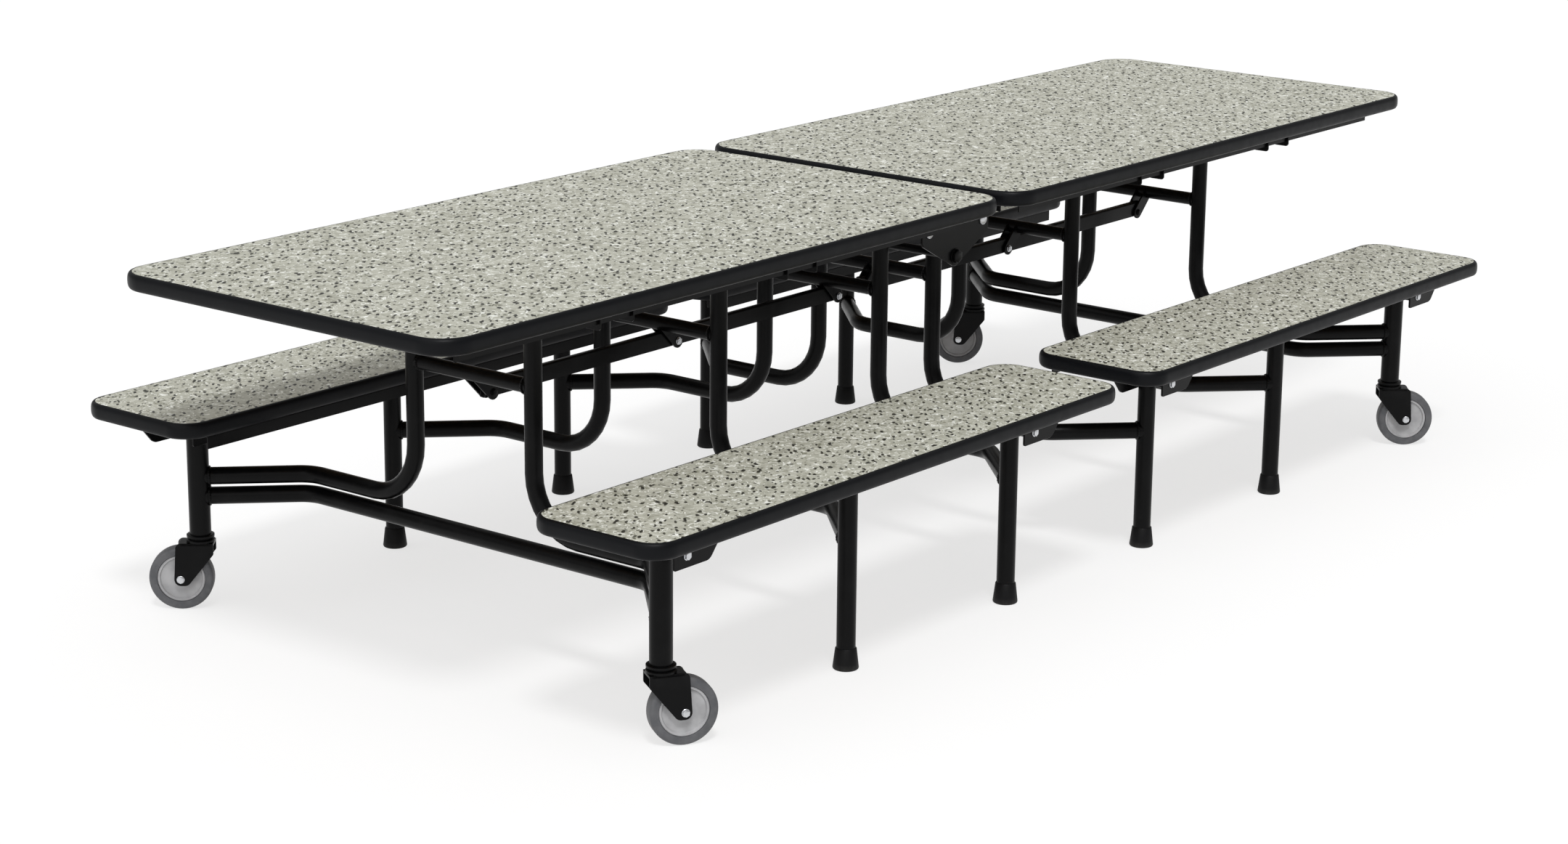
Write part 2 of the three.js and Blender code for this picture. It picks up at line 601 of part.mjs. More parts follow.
// The steel under one bench: an angle rail along its inner edge and the brackets over its two pivot posts
function benchUnderframe(side, row) {
  const seat = BENCH_UNDERSIDE - FIT_GAP;
  const railY = BENCH_INNER_Y + BENCH_RAIL_FROM_EDGE;
  const [innerX, outerX] = benchXs(side);
  const railXs = [innerX + side * BENCH_RAIL_INSET, outerX - side * BENCH_RAIL_INSET];
  const rail = [
    block(railXs, [row * railY, row * (railY + SHEET)], [seat - BENCH_RAIL_DEPTH, seat]),
    block(railXs, [row * railY, row * (railY + BENCH_RAIL_FLANGE)], [seat - SHEET, seat]),
  ];
  const brackets = FRAMES.filter((frame) => frame.benchPivot).map((frame) => benchBracket(side, row, frame));
  return joined([...rail, ...brackets]);
}

// A channel bar along the centre line that links the three frames of one half
function spineBar(side) {
  const ends = [
    spinePivotX(side, INNER_FRAME) - side * SPINE_END,
    spinePivotX(side, OUTER_FRAME) + side * SPINE_END,
  ];
  const half = SPINE_WIDTH / 2;
  const top = SPINE_PIVOT_HEIGHT + SPINE_ABOVE_PIVOT;
  const bottom = SPINE_PIVOT_HEIGHT - SPINE_BELOW_PIVOT;
  const outer = block(ends, [-half, half], [bottom, top]);
  const inside = half - SHEET;
  const hollowXs = [ends[0] - side * CUT_PAST, ends[1] + side * CUT_PAST];
  const hollow = block(hollowXs, [-inside, inside], [bottom - CUT_PAST, top - SHEET]);
  const hole = holeRadius(SPINE_PIN_DIAMETER, PIVOT_CLEARANCE);
  const holes = FRAMES.map((frame) =>
    crossBar(hole, spinePivotX(side, frame), SPINE_PIVOT_HEIGHT, [-SPINE_WIDTH, SPINE_WIDTH]));
  return outer.subtract(hollow).subtract(joined(holes));
}

// The plate that joins the two inner frames at the centre, hung on both inner rods and tied at its foot
function centrePlate(row) {
  const half = INNER_NECK_X + CENTRE_PLATE_PAST_PIVOT;
  const top = TOP_PIVOT_HEIGHT + CENTRE_PLATE_ABOVE_PIVOT;
  const shoulder = TOP_PIVOT_HEIGHT - CENTRE_PLATE_SHOULDER;
  const foot = TOP_PIVOT_HEIGHT - TIE_ROD_DROP;
  const slope = Math.atan2(shoulder - foot, half);
  const tangent = slope - Math.PI / 2;
  const shape = new THREE.Shape();
  shape.moveTo(-half, top);
  shape.lineTo(-half, shoulder);
  shape.absarc(0, foot, TIE_ROD_BOSS_RADIUS, Math.PI - tangent, tangent, false);
  shape.lineTo(half, shoulder);
  shape.lineTo(half, top);
  shape.closePath();
  const near = CENTRE_PLATE_Y - CENTRE_PLATE_THICKNESS / 2;
  const far = CENTRE_PLATE_Y + CENTRE_PLATE_THICKNESS / 2;
  const plate = uprightPlate(shape, [row * near, row * far]);
  const lipYs = [row * near, row * (far + CENTRE_PLATE_LIP)];
  const lip = block([-half, half], lipYs, [top - CENTRE_PLATE_LIP_THICKNESS, top]);
  const rodHole = holeRadius(TOP_ROD_DIAMETER, FIT_GAP);
  const through = [row * (near - CUT_PAST), row * (far + CUT_PAST)];
  const holes = [
    ...HALVES.map(([, side]) => crossBar(rodHole, side * INNER_NECK_X, TOP_PIVOT_HEIGHT, through)),
    crossBar(holeRadius(TIE_ROD_DIAMETER, FIT_GAP), 0, foot, through),
  ];
  return joined([plate, lip]).subtract(joined(holes));
}

function tieRod() {
  const reach = CENTRE_PLATE_Y + CENTRE_PLATE_THICKNESS / 2 + FIT_GAP;
  return headedRod(
    0, TOP_PIVOT_HEIGHT - TIE_ROD_DROP, reach, TIE_ROD_DIAMETER, TIE_ROD_HEAD_DIAMETER, TIE_ROD_HEAD_LENGTH);
}

// Caster pieces, drawn with the swivel on the Z axis and the wheel trailing towards +X
function casterFork() {
  const inside = HUB_BOSS_WIDTH / 2 + FORK_TO_HUB;
  const outside = inside + FORK_PLATE;
  const shape = new THREE.Shape();
  shape.moveTo(-FORK_BACK, COLLAR_BASE);
  shape.lineTo(-FORK_BACK, COLLAR_BASE - FORK_BACK_DEPTH);
  shape.absarc(CASTER_TRAIL, WHEEL_RADIUS, FORK_BOSS_RADIUS, THREE.MathUtils.degToRad(FORK_BOSS_FROM), 0, false);
  shape.lineTo(FORK_FRONT, COLLAR_BASE);
  shape.closePath();
  const plates = [-1, 1].map((face) => uprightPlate(shape, [face * inside, face * outside]));
  const web = block([-FORK_BACK, FORK_FRONT], [-outside, outside], [FORK_UNDERSIDE, COLLAR_BASE]);
  const collar = turned([
    [0, FORK_UNDERSIDE + FORK_WEB / 2],
    [COLLAR_DIAMETER / 2, FORK_UNDERSIDE + FORK_WEB / 2],
    [COLLAR_DIAMETER / 2, CASTER_TOP],
    [STEM_DIAMETER / 2, CASTER_TOP],
    [STEM_DIAMETER / 2, CASTER_TOP + STEM_LENGTH],
    [0, CASTER_TOP + STEM_LENGTH],
  ], BOOT_SIDES);
  const axle = headedRod(
    CASTER_TRAIL, WHEEL_RADIUS, outside, AXLE_DIAMETER, AXLE_HEAD_DIAMETER, AXLE_HEAD_LENGTH);
  return joined([...plates, web, collar, axle]);
}

// A wheel piece turned about the axle: its profile gives the radius and the distance from the middle
function aboutAxle(profile) {
  return turned(profile, WHEEL_SIDES).rotate([90, 0, 0]).translate([CASTER_TRAIL, 0, WHEEL_RADIUS]);
}

function wheelHub() {
  const bore = holeRadius(AXLE_DIAMETER, PIVOT_CLEARANCE, WHEEL_SIDES);
  const boss = HUB_BOSS_DIAMETER / 2;
  const rim = HUB_DIAMETER / 2;
  const half = HUB_WIDTH / 2;
  const bossHalf = HUB_BOSS_WIDTH / 2;
  const profile = [
    [bore, -bossHalf],
    [boss, -bossHalf],
    [boss, -half],
    [rim, -half],
    [rim, half],
    [boss, half],
    [boss, bossHalf],
    [bore, bossHalf],
    [bore, -bossHalf],
  ];
  return aboutAxle(profile);
}

function wheelTyre() {
  const seat = HUB_DIAMETER / 2 + FIT_GAP;
  const half = TYRE_WIDTH / 2;
  const profile = [
    [seat, -half],
    [WHEEL_RADIUS - TYRE_ROUND, -half],
    [WHEEL_RADIUS, TYRE_ROUND - half],
    [WHEEL_RADIUS, half - TYRE_ROUND],
    [WHEEL_RADIUS - TYRE_ROUND, half],
    [seat, half],
    [seat, -half],
  ];
  return aboutAxle(profile);
}

// The casters stand as they last rolled: the rear ones opposite to the front, the left front one a little apart
function casterTurn(side, row) {
  if (row > 0) return CASTER_TURN + 180;
  return side < 0 ? LEFT_FRONT_CASTER_TURN : CASTER_TURN;
}

// Assembly
const table = new THREE.Group();

for (const [half, side] of HALVES) {
  for (const frame of FRAMES) {
    table.add(named(`frame_${frame.name}_${half}`, weldedFrame(side, frame), POWDER_COAT));
    table.add(named(`rod_${frame.name}_${half}`, pivotRod(side, frame), ZINC));
  }
  const board = roundedSlab(topXs(side), topYs, topZs, TOP_CORNER, BOARD_INSET);
  table.add(named(`top_${half}`, board, LAMINATE));
  table.add(named(`top_band_${half}`, edgeBand(topXs(side), topYs, topZs, TOP_CORNER), BAND));
  table.add(named(`top_underframe_${half}`, topUnderframe(side), POWDER_COAT));
  table.add(named(`spine_${half}`, spineBar(side), POWDER_COAT));
  for (const [end, row] of ROWS) {
    const place = `${half}_${end}`;
    const seat = roundedSlab(benchXs(side), benchYs(row), benchZs, BENCH_CORNER, BOARD_INSET);
    table.add(named(`bench_${place}`, seat, LAMINATE));
    table.add(named(`bench_band_${place}`, edgeBand(benchXs(side), benchYs(row), benchZs, BENCH_CORNER), BAND));
    table.add(named(`bench_underframe_${place}`, benchUnderframe(side, row), POWDER_COAT));
    for (const frame of FRAMES.filter(({ caster }) => !caster)) {
      table.add(named(`boot_${frame.name}_${place}`, boot(side, row, frame), RUBBER));
    }
    const caster = new THREE.Group();
    caster.position.set(postX(side, OUTER_FRAME), row * POST_Y, 0);
    caster.rotation.z = THREE.MathUtils.degToRad(casterTurn(side, row));
    caster.add(named(`fork_${place}`, casterFork(), POWDER_COAT));
    caster.add(named(`hub_${place}`, wheelHub(), HUB));
    caster.add(named(`tyre_${place}`, wheelTyre(), TYRE));
    table.add(caster);
  }
}

for (const [end, row] of ROWS) {
  table.add(named(`centre_plate_${end}`, centrePlate(row), POWDER_COAT));
}
table.add(named('centre_tie_rod', tieRod(), POWDER_COAT));

export default table;
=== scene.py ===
# %% [markdown]
# # A cafeteria folding table, dressed for its portrait
# The table has two speckled tops and four bench boards on six black tube frames. It rolls on four casters
# and folds at the centre. The frame of the model, with every piece at its real size and every joint, is
# loaded first. What follows gives each piece its finished surface, in the same place and in metres.

# %% Load the frame
import json

import bpy
import numpy as np
from mathutils import Matrix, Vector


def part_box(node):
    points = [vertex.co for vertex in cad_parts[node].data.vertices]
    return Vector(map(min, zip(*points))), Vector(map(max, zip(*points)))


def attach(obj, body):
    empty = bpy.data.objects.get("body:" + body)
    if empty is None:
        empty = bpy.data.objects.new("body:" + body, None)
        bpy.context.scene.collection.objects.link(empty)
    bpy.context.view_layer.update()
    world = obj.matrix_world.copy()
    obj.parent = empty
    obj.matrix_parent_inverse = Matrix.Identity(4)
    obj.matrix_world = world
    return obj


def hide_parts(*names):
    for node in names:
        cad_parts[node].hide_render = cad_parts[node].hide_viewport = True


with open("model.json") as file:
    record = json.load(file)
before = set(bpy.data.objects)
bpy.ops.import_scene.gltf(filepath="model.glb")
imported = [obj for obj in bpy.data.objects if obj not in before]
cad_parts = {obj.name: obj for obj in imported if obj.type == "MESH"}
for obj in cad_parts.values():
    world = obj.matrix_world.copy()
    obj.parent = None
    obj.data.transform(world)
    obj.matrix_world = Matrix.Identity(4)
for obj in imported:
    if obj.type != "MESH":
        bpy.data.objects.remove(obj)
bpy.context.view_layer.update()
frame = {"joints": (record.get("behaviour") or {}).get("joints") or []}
joint_at = {joint["name"]: np.array(joint["pos_m"], float) for joint in frame["joints"]}

# %% [markdown]
# ## The camera
# A long lens stands well back, to the left of the front corner, a little above head height. Its place, its
# turn and its focal length were found by lining up board edges, posts and feet with the photograph. A camera
# looks along its own -Z, so its matrix has the right, up and backward directions as columns.

# %% Camera
IMAGE_WIDTH = 2160
SENSOR_WIDTH_MM = 36.0
FOCAL_LENGTH_PIXELS = 4647.4
CAMERA_AT = np.array([-4.9773, -3.8101, 1.8970])
CAMERA_YAW, CAMERA_PITCH, CAMERA_ROLL = np.radians([38.538, -15.2194, -0.5564])


def camera_axes(yaw, pitch, roll):
    """Right, up and backward. Yaw turns the view about the vertical, pitch lifts it and roll tips it over."""
    forward = np.array([np.cos(pitch) * np.cos(yaw), np.cos(pitch) * np.sin(yaw), np.sin(pitch)])
    right = np.cross(forward, [0, 0, 1])
    right /= np.linalg.norm(right)
    up = np.cross(right, forward)
    rolled_right = np.cos(roll) * right - np.sin(roll) * up
    rolled_up = np.sin(roll) * right + np.cos(roll) * up
    return np.stack([rolled_right, rolled_up, -forward], axis=1)


camera_data = bpy.data.cameras.new("portrait_camera")
camera_data.sensor_width = SENSOR_WIDTH_MM
camera_data.lens = FOCAL_LENGTH_PIXELS * SENSOR_WIDTH_MM / IMAGE_WIDTH
camera = bpy.data.objects.new("portrait_camera", camera_data)
camera_place = np.eye(4)
camera_place[:3, :3] = camera_axes(CAMERA_YAW, CAMERA_PITCH, CAMERA_ROLL)
camera_place[:3, 3] = CAMERA_AT
camera.matrix_world = Matrix(camera_place.tolist())
bpy.context.scene.collection.objects.link(camera)
bpy.context.scene.camera = camera
print("lens", round(camera_data.lens, 1), "mm")

# %% [markdown]
# ## Skins from rings
# Nearly every piece of this table is a section carried along a line: a circle along a bent tube, a sheet
# profile along a rail, a half-round along a board's edge. So one idea makes them all: a stack of rings with
# equally many points, joined into quads and closed by flat caps. The rings come from numpy as whole arrays.


# %% Rings to skins
def lattice(rows, columns, loop):
    """Quads over a grid of points numbered row by row. Columns always close, rows close for a loop."""
    row, column = np.meshgrid(np.arange(rows if loop else rows - 1), np.arange(columns), indexing="ij")
    next_row = (row + 1) % rows
    next_column = (column + 1) % columns
    corners = [row * columns + column, row * columns + next_column,
               next_row * columns + next_column, next_row * columns + column]
    return np.stack(corners, axis=-1).reshape(-1, 4)


def fan(cap):
    """Triangles from a cap's first point to each edge that doesn't touch it."""
    return np.stack([np.full(len(cap) - 2, cap[0]), cap[1:-1], cap[2:]], axis=1)


def skin(rings, loop=False):
    """A closed skin through rings of points, turned right side out.

    The volume is the sum of a . (b x c) / 6 over its triangles. It is negative when the skin is inside out,
    and then every face is read backwards."""
    rings = np.asarray(rings, float)
    rows, columns = rings.shape[:2]
    points = rings.reshape(-1, 3)
    quads = lattice(rows, columns, loop)
    first = np.arange(columns)
    caps = [] if loop else [first[::-1], first + (rows - 1) * columns]
    triangles = np.concatenate([quads[:, [0, 1, 2]], quads[:, [0, 2, 3]], *map(fan, caps)])
    middle = points.mean(axis=0)
    a, b, c = (points[triangles[:, k]] - middle for k in range(3))
    if np.einsum("ij,ij->", a, np.cross(b, c)) < 0:
        quads = quads[:, ::-1]
        caps = [cap[::-1] for cap in caps]
    return points, quads, caps


def unit(vectors):
    """Vectors divided by their lengths."""
    return vectors / np.linalg.norm(vectors, axis=-1, keepdims=True)


# %% [markdown]
# ## Rounded runs
# Tubes turn corners in arcs and sheet metal has rounded corners. Both are the same sum: at each corner, an
# arc that touches the edge before it and the edge after it. The arc's centre lies on the corner's bisector.


# %% Runs and sections
X, Y, Z = np.eye(3)
ARC_STEPS = 8


def rounded_run(corners, radii, steps=ARC_STEPS):
    """Corner points with each corner swapped for an arc of its radius, or kept where the radius is 0.

    The arc starts and ends radius / tan(half the angle) from the corner, and its centre is
    radius / sin(half the angle) along the bisector. Its points are a blend of the two end spokes with
    weights sin((1 - s) turn) / sin(turn) and sin(s turn) / sin(turn)."""
    corners = np.asarray(corners, float)
    share = np.linspace(0, 1, steps + 1)[:, None]
    run = []
    for corner, before, after, radius in zip(corners, np.roll(corners, 1, 0), np.roll(corners, -1, 0), radii):
        if radius == 0:
            run.append(corner[None])
            continue
        back, ahead = unit(before - corner), unit(after - corner)
        half = np.arccos(np.clip(back @ ahead, -1, 1)) / 2
        turn = np.pi - 2 * half
        centre = corner + unit(back + ahead) * radius / np.sin(half)
        first = corner + back * radius / np.tan(half) - centre
        last = corner + ahead * radius / np.tan(half) - centre
        spokes = np.sin((1 - share) * turn) * first + np.sin(share * turn) * last
        run.append(centre + spokes / np.sin(turn))
    return np.concatenate(run)


TUBE_SIDES = 28
MOSTLY_ALONG_X = 0.6


def tube(path, radius, reference, sides=TUBE_SIDES):
    """A circle carried along a path. Each ring lies square to the mean of the steps before and after it,
    with its first spoke square to a reference direction that the path never follows."""
    path = np.asarray(path, float)
    steps = unit(np.diff(path, axis=0))
    along = unit(np.concatenate([steps[:1], steps[:-1] + steps[1:], steps[-1:]]))
    across = unit(np.cross(along, reference))
    over = np.cross(along, across)
    angle = np.linspace(0, 2 * np.pi, sides, endpoint=False)[:, None]
    spokes = np.cos(angle) * across[:, None] + np.sin(angle) * over[:, None]
    return skin(path[:, None] + radius * spokes)


def spun(profile, at, axis, sides=TUBE_SIDES, flats=0, loop=False):
    """A profile of (radius, height) spun about an axis. With flats, every ring is a polygon of that many
    sides: the radius is divided by cos(angle from the middle of the flat)."""
    radius, height = np.asarray(profile, float).T[..., None]
    axis = unit(np.asarray(axis, float))
    east = unit(np.cross(axis, X if abs(axis[0]) < MOSTLY_ALONG_X else Y))
    north = np.cross(axis, east)
    angle = np.linspace(0, 2 * np.pi, sides, endpoint=False)
    if flats:
        sector = 2 * np.pi / flats
        radius = radius * np.cos(sector / 2) / np.cos(angle % sector - sector / 2)
    rings = (radius * np.cos(angle))[..., None] * east + (radius * np.sin(angle))[..., None] * north
    return skin(np.asarray(at, float) + rings + height[..., None] * axis, loop)


def round_bar(radius, start, end, at, axis):
    """A round bar between two distances along an axis."""
    return spun([(radius, start), (radius, end)], at, axis)


def rectangle(left, right, first, last):
    """Four corners, the first two on the first side."""
    return [(left, first), (right, first), (right, last), (left, last)]


def solid(outline, depth, bevel, at, axes):
    """A flat outline given thickness: four rings, drawn in by the bevel at both ends. axes are the
    directions of the outline's two coordinates and of its depth. A point is drawn in along the sum of its
    two edges' normals, divided by 1 plus their dot product, so that every edge moves by the same amount."""
    outline = np.asarray(outline, float)
    edge = unit(np.roll(outline, -1, 0) - outline)
    normal = np.stack([edge[:, 1], -edge[:, 0]], axis=1)
    before = np.roll(normal, 1, 0)
    miter = (before + normal) / (1 + np.sum(before * normal, axis=1, keepdims=True))
    x, y = outline.T
    turning = np.sign(np.sum(x * np.roll(y, -1) - np.roll(x, -1) * y))
    drawn_in = outline - turning * bevel * miter
    heights = [0, bevel, depth - bevel, depth]
    rings = [np.column_stack([ring, np.full(len(ring), height)])
             for ring, height in zip([drawn_in, outline, outline, drawn_in], heights)]
    return skin(np.asarray(at, float) + np.asarray(rings) @ np.asarray(axes, float))


print("section makers ready")

# %% [markdown]
# ## A finished piece
# A piece is one or more skins in one mesh. It is smooth across shallow edges and sharp across steep ones, it
# rides on the body that carries it, and it hides the plain solids of the frame that it stands for.

# %% Pieces
SMOOTH_BELOW = np.radians(34)


def piece(name, skins, finish, body, stands_for=()):
    """One object at the origin, with its place in its mesh."""
    starts = np.cumsum([0] + [len(points) for points, _, _ in skins])
    faces = []
    for (_, quads, caps), start in zip(skins, starts):
        faces += (quads + start).tolist() + [(cap + start).tolist() for cap in caps]
    mesh = bpy.data.meshes.new(name)
    mesh.from_pydata(np.concatenate([points for points, _, _ in skins]).tolist(), [], faces)
    mesh.materials.append(finish)
    mesh.shade_smooth()
    mesh.set_sharp_from_angle(angle=SMOOTH_BELOW)
    made = bpy.data.objects.new(name, mesh)
    bpy.context.scene.collection.objects.link(made)
    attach(made, body)
    if stands_for:
        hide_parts(*stands_for)
    return made


# %% [markdown]
# ## Finishes
# Each finish is a small graph of nodes. Patterns read Object coordinates, which are metres in the table's own
# frame, so a fleck of 7 mm is 7 mm on every board.


# %% Node helpers
def feed(tree, node, inputs):
    """Links each input to a socket or sets it to a value."""
    for key, value in inputs.items():
        if isinstance(value, bpy.types.NodeSocket):
            tree.links.new(value, node.inputs[key])
        else:
            node.inputs[key].default_value = value


def add(tree, kind, inputs=None, **settings):
    """A node with its settings and its inputs."""
    made = tree.nodes.new(kind)
    for key, value in settings.items():
        setattr(made, key, value)
    feed(tree, made, inputs or {})
    return made


def between(tree, factor, first, second):
    """The colour that lies factor of the way from the first to the second."""
    return add(tree, "ShaderNodeMix", {0: factor, 6: first, 7: second}, data_type="RGBA").outputs[2]


def ranged(tree, value, low, high, to_low=0.0, to_high=1.0):
    """A value read on a new scale and held inside it."""
    inputs = {"Value": value, "From Min": low, "From Max": high, "To Min": to_low, "To Max": to_high}
    return add(tree, "ShaderNodeMapRange", inputs).outputs["Result"]


def times(tree, first, second):
    return add(tree, "ShaderNodeMath", {0: first, 1: second}, operation="MULTIPLY").outputs[0]


def noise(tree, where, scale, detail=2.0, distortion=0.0):
    inputs = {"Vector": where, "Scale": scale, "Detail": detail, "Distortion": distortion}
    return add(tree, "ShaderNodeTexNoise", inputs)


def blank_finish(name):
    """A material with a Principled shader, its tree and the Object coordinates."""
    material = bpy.data.materials.new(name)
    material.use_nodes = True
    tree = material.node_tree
    shader = tree.nodes["Principled BSDF"]
    where = add(tree, "ShaderNodeTexCoord").outputs["Object"]
    return material, tree, shader, where


def bumped(tree, shader, height, strength, depth):
    """Links a height to the shader's normal, depth metres deep at full strength."""
    bump = add(tree, "ShaderNodeBump", {"Height": height, "Strength": strength, "Distance": depth})
    feed(tree, shader, {"Normal": bump.outputs["Normal"]})


def cloud(tree, where, scale, detail, low, high, to_low=0.0, to_high=1.0):
    """Noise read between two of its levels."""
    return ranged(tree, noise(tree, where, scale, detail).outputs["Fac"], low, high, to_low, to_high)


def grained(tree, shader, where, scale, detail, strength, depth):
    """A fine grain of noise on the surface."""
    bumped(tree, shader, noise(tree, where, scale, detail).outputs["Fac"], strength, depth)


# %% [markdown]
# ### Speckled laminate
# The boards carry a decorative laminate: a warm grey ground in soft patches, crossed by pale and olive
# curling strokes and sprinkled with nearly black flecks. The ground is noise and warped cells. A stroke is a
# thin band where a smooth noise passes one half, cut short by a second noise. A fleck is the middle of a
# Voronoi cell, and only some cells have one. The flecks are longer than wide and lie along one slant.

# %% Laminate
GROUND_SHADOW = (0.315, 0.313, 0.255, 1)
GROUND_MIDDLE = (0.445, 0.445, 0.372, 1)
GROUND_LIGHT = (0.55, 0.55, 0.472, 1)
PALE_STROKE = (0.88, 0.89, 0.83, 1)
OLIVE_STROKE = (0.20, 0.20, 0.145, 1)
FLECK_COLOUR = (0.016, 0.016, 0.011, 1)
SMALL_FLECK_COLOUR = (0.09, 0.09, 0.066, 1)

# Scales are per metre, levels are where a noise or a tone is read from and to
NOISE_MIDDLE = 0.5
WARP_SCALE = 70
WARP_REACH = 0.012
GROUND_CLOUD = (110, 4.0, 0.35, 0.65)
PATCH_SCALE = 75
PATCH_LEVELS = (0.15, 0.85)
LIGHT_PATCH_SHARE = 0.75
STROKE_DETAIL = 1.0
STROKE_DISTORTION = 0.5
STROKE_CORE = 0.2
GATE_DETAIL = 0.0
GATE_LEVELS = (0.5, 0.58)
FLECK_CORE = 0.72
DRAW_EDGE = 0.02
LAMINATE_GRAIN_SCALE = 300
LAMINATE_GRAIN_LEVELS = (0.3, 0.7)
LAMINATE_ROUGHNESS = (0.42, 0.54)
LAMINATE_SHINE = 0.35
LAMINATE_BUMP = (0.12, 0.0004)

# Scale in strokes per metre, width, scale of the gate, colour and strength
STROKE_KINDS = (
    (40, 0.030, 70, OLIVE_STROKE, 0.90),
    (42, 0.030, 72, PALE_STROKE, 0.95),
    (70, 0.036, 100, PALE_STROKE, 0.90),
)
GRAIN_SLANT = np.radians(40)
# Scale in cells per metre, stretch, radius in cells, share of cells, colour and strength
FLECK_KINDS = (
    (36, (1.7, 0.66, 1), 0.172, 0.70, FLECK_COLOUR, 0.97),
    (44, (1.5, 0.75, 1), 0.165, 0.56, FLECK_COLOUR, 0.97),
    (70, (1.4, 0.8, 1), 0.20, 0.50, SMALL_FLECK_COLOUR, 0.85),
)


def flecks(tree, where, scale, stretch, size, share):
    """Spots in the middles of some cells. Size is a spot's radius in cells, share how many cells have one."""
    turned = {"Vector": where, "Rotation": (0, 0, GRAIN_SLANT), "Scale": stretch}
    stretched = add(tree, "ShaderNodeMapping", turned, vector_type="TEXTURE").outputs[0]
    cells = add(tree, "ShaderNodeTexVoronoi", {"Vector": stretched, "Scale": scale}, voronoi_dimensions="2D")
    spot = ranged(tree, cells.outputs["Distance"], size, FLECK_CORE * size)
    draw = add(tree, "ShaderNodeSeparateColor", {"Color": cells.outputs["Color"]}).outputs["Red"]
    return times(tree, spot, ranged(tree, draw, 1 - share, 1 - share + DRAW_EDGE))


def strokes(tree, where, scale, width, gate_scale):
    """Thin curling lines where a smooth noise is close to one half, shown only where a gate noise is high."""
    wave = noise(tree, where, scale, STROKE_DETAIL, STROKE_DISTORTION).outputs["Fac"]
    apart = add(tree, "ShaderNodeMath", {0: wave, 1: NOISE_MIDDLE}, operation="SUBTRACT").outputs[0]
    apart = add(tree, "ShaderNodeMath", {0: apart}, operation="ABSOLUTE").outputs[0]
    gate = cloud(tree, where, gate_scale, GATE_DETAIL, *GATE_LEVELS)
    return times(tree, ranged(tree, apart, width, STROKE_CORE * width), gate)


def speckled_laminate():
    material, tree, shader, where = blank_finish("speckled_laminate")
    shift = noise(tree, where, WARP_SCALE).outputs["Color"]
    middle = (NOISE_MIDDLE, NOISE_MIDDLE, NOISE_MIDDLE)
    shift = add(tree, "ShaderNodeVectorMath", {0: shift, 1: middle}, operation="SUBTRACT").outputs[0]
    shift = add(tree, "ShaderNodeVectorMath", {0: shift, "Scale": WARP_REACH}, operation="SCALE").outputs[0]
    warped = add(tree, "ShaderNodeVectorMath", {0: where, 1: shift}, operation="ADD").outputs[0]

    cells = add(tree, "ShaderNodeTexVoronoi", {"Vector": warped, "Scale": PATCH_SCALE})
    tone = add(tree, "ShaderNodeRGBToBW", {"Color": cells.outputs["Color"]}).outputs[0]
    ground = between(tree, cloud(tree, where, *GROUND_CLOUD), GROUND_SHADOW, GROUND_MIDDLE)
    patches = ranged(tree, tone, *PATCH_LEVELS, 0.0, LIGHT_PATCH_SHARE)
    ground = between(tree, patches, ground, GROUND_LIGHT)

    for scale, width, gate_scale, colour, strength in STROKE_KINDS:
        lines = strokes(tree, warped, scale, width, gate_scale)
        ground = between(tree, times(tree, lines, strength), ground, colour)
    for scale, stretch, size, share, colour, strength in FLECK_KINDS:
        spots = flecks(tree, warped, scale, stretch, size, share)
        ground = between(tree, times(tree, spots, strength), ground, colour)

    rough = noise(tree, where, LAMINATE_GRAIN_SCALE).outputs["Fac"]
    roughness = ranged(tree, rough, *LAMINATE_GRAIN_LEVELS, *LAMINATE_ROUGHNESS)
    feed(tree, shader, {"Base Color": ground, "Roughness": roughness, "Specular IOR Level": LAMINATE_SHINE})
    bumped(tree, shader, rough, *LAMINATE_BUMP)
    return material


LAMINATE = speckled_laminate()

# %% [markdown]
# ### Black, three ways
# The edge bands are moulded plastic with a soft shine. The steel has a powder coat: a tougher black whose
# surface is very slightly pebbled, like orange peel. The boots are dull rubber, dusty where they meet the
# floor. All three are near black, so the difference lies in their shine and in the grain of their surface.

# %% Blacks and bare steel
BAND_COLOUR = (0.003, 0.0034, 0.0044, 1)
COAT_COLOUR = (0.0026, 0.0026, 0.0028, 1)
COAT_RUBBED_COLOUR = (0.0055, 0.0055, 0.0058, 1)
RUBBER_COLOUR = (0.005, 0.005, 0.0054, 1)
FLOOR_DUST_COLOUR = (0.045, 0.044, 0.042, 1)
BACKING_LIGHT = (0.36, 0.25, 0.14, 1)
BACKING_DARK = (0.19, 0.125, 0.065, 1)
ZINC_COLOUR = (0.62, 0.63, 0.65, 1)

# Noise: scale per metre, detail, and the two levels that it is read between
BAND_SCUFFS = (45, 5.0, 0.35, 0.7)
COAT_RUBBING = (24, 4.0, 0.5, 0.75)
ZINC_STAINS = (220, 3.0, 0.3, 0.7)
# Grain: scale per metre, detail, strength and depth in metres
BAND_GRAIN = (900, 1.0, 0.12, 0.0002)
COAT_GRAIN = (650, 1.0, 0.15, 0.0003)
BOOT_GRAIN = (500, 3.0, 0.2, 0.0004)
# Shine is the shader's specular level
BAND_SHINE = 0.13
COAT_SHINE = 0.11
BOOT_SHINE = 0.14
BAND_ROUGHNESS = (0.38, 0.46)
COAT_ROUGHNESS = (0.30, 0.38)
ZINC_ROUGHNESS = (0.24, 0.4)
BOOT_ROUGHNESS = 0.5
BACKING_ROUGHNESS = 0.75
BACKING_BUMP = (0.2, 0.0004)
CHIP_SCALE = 240
DUST_HEIGHT = 0.012
DUST_SCALE = 160
DUST_DETAIL = 4.0


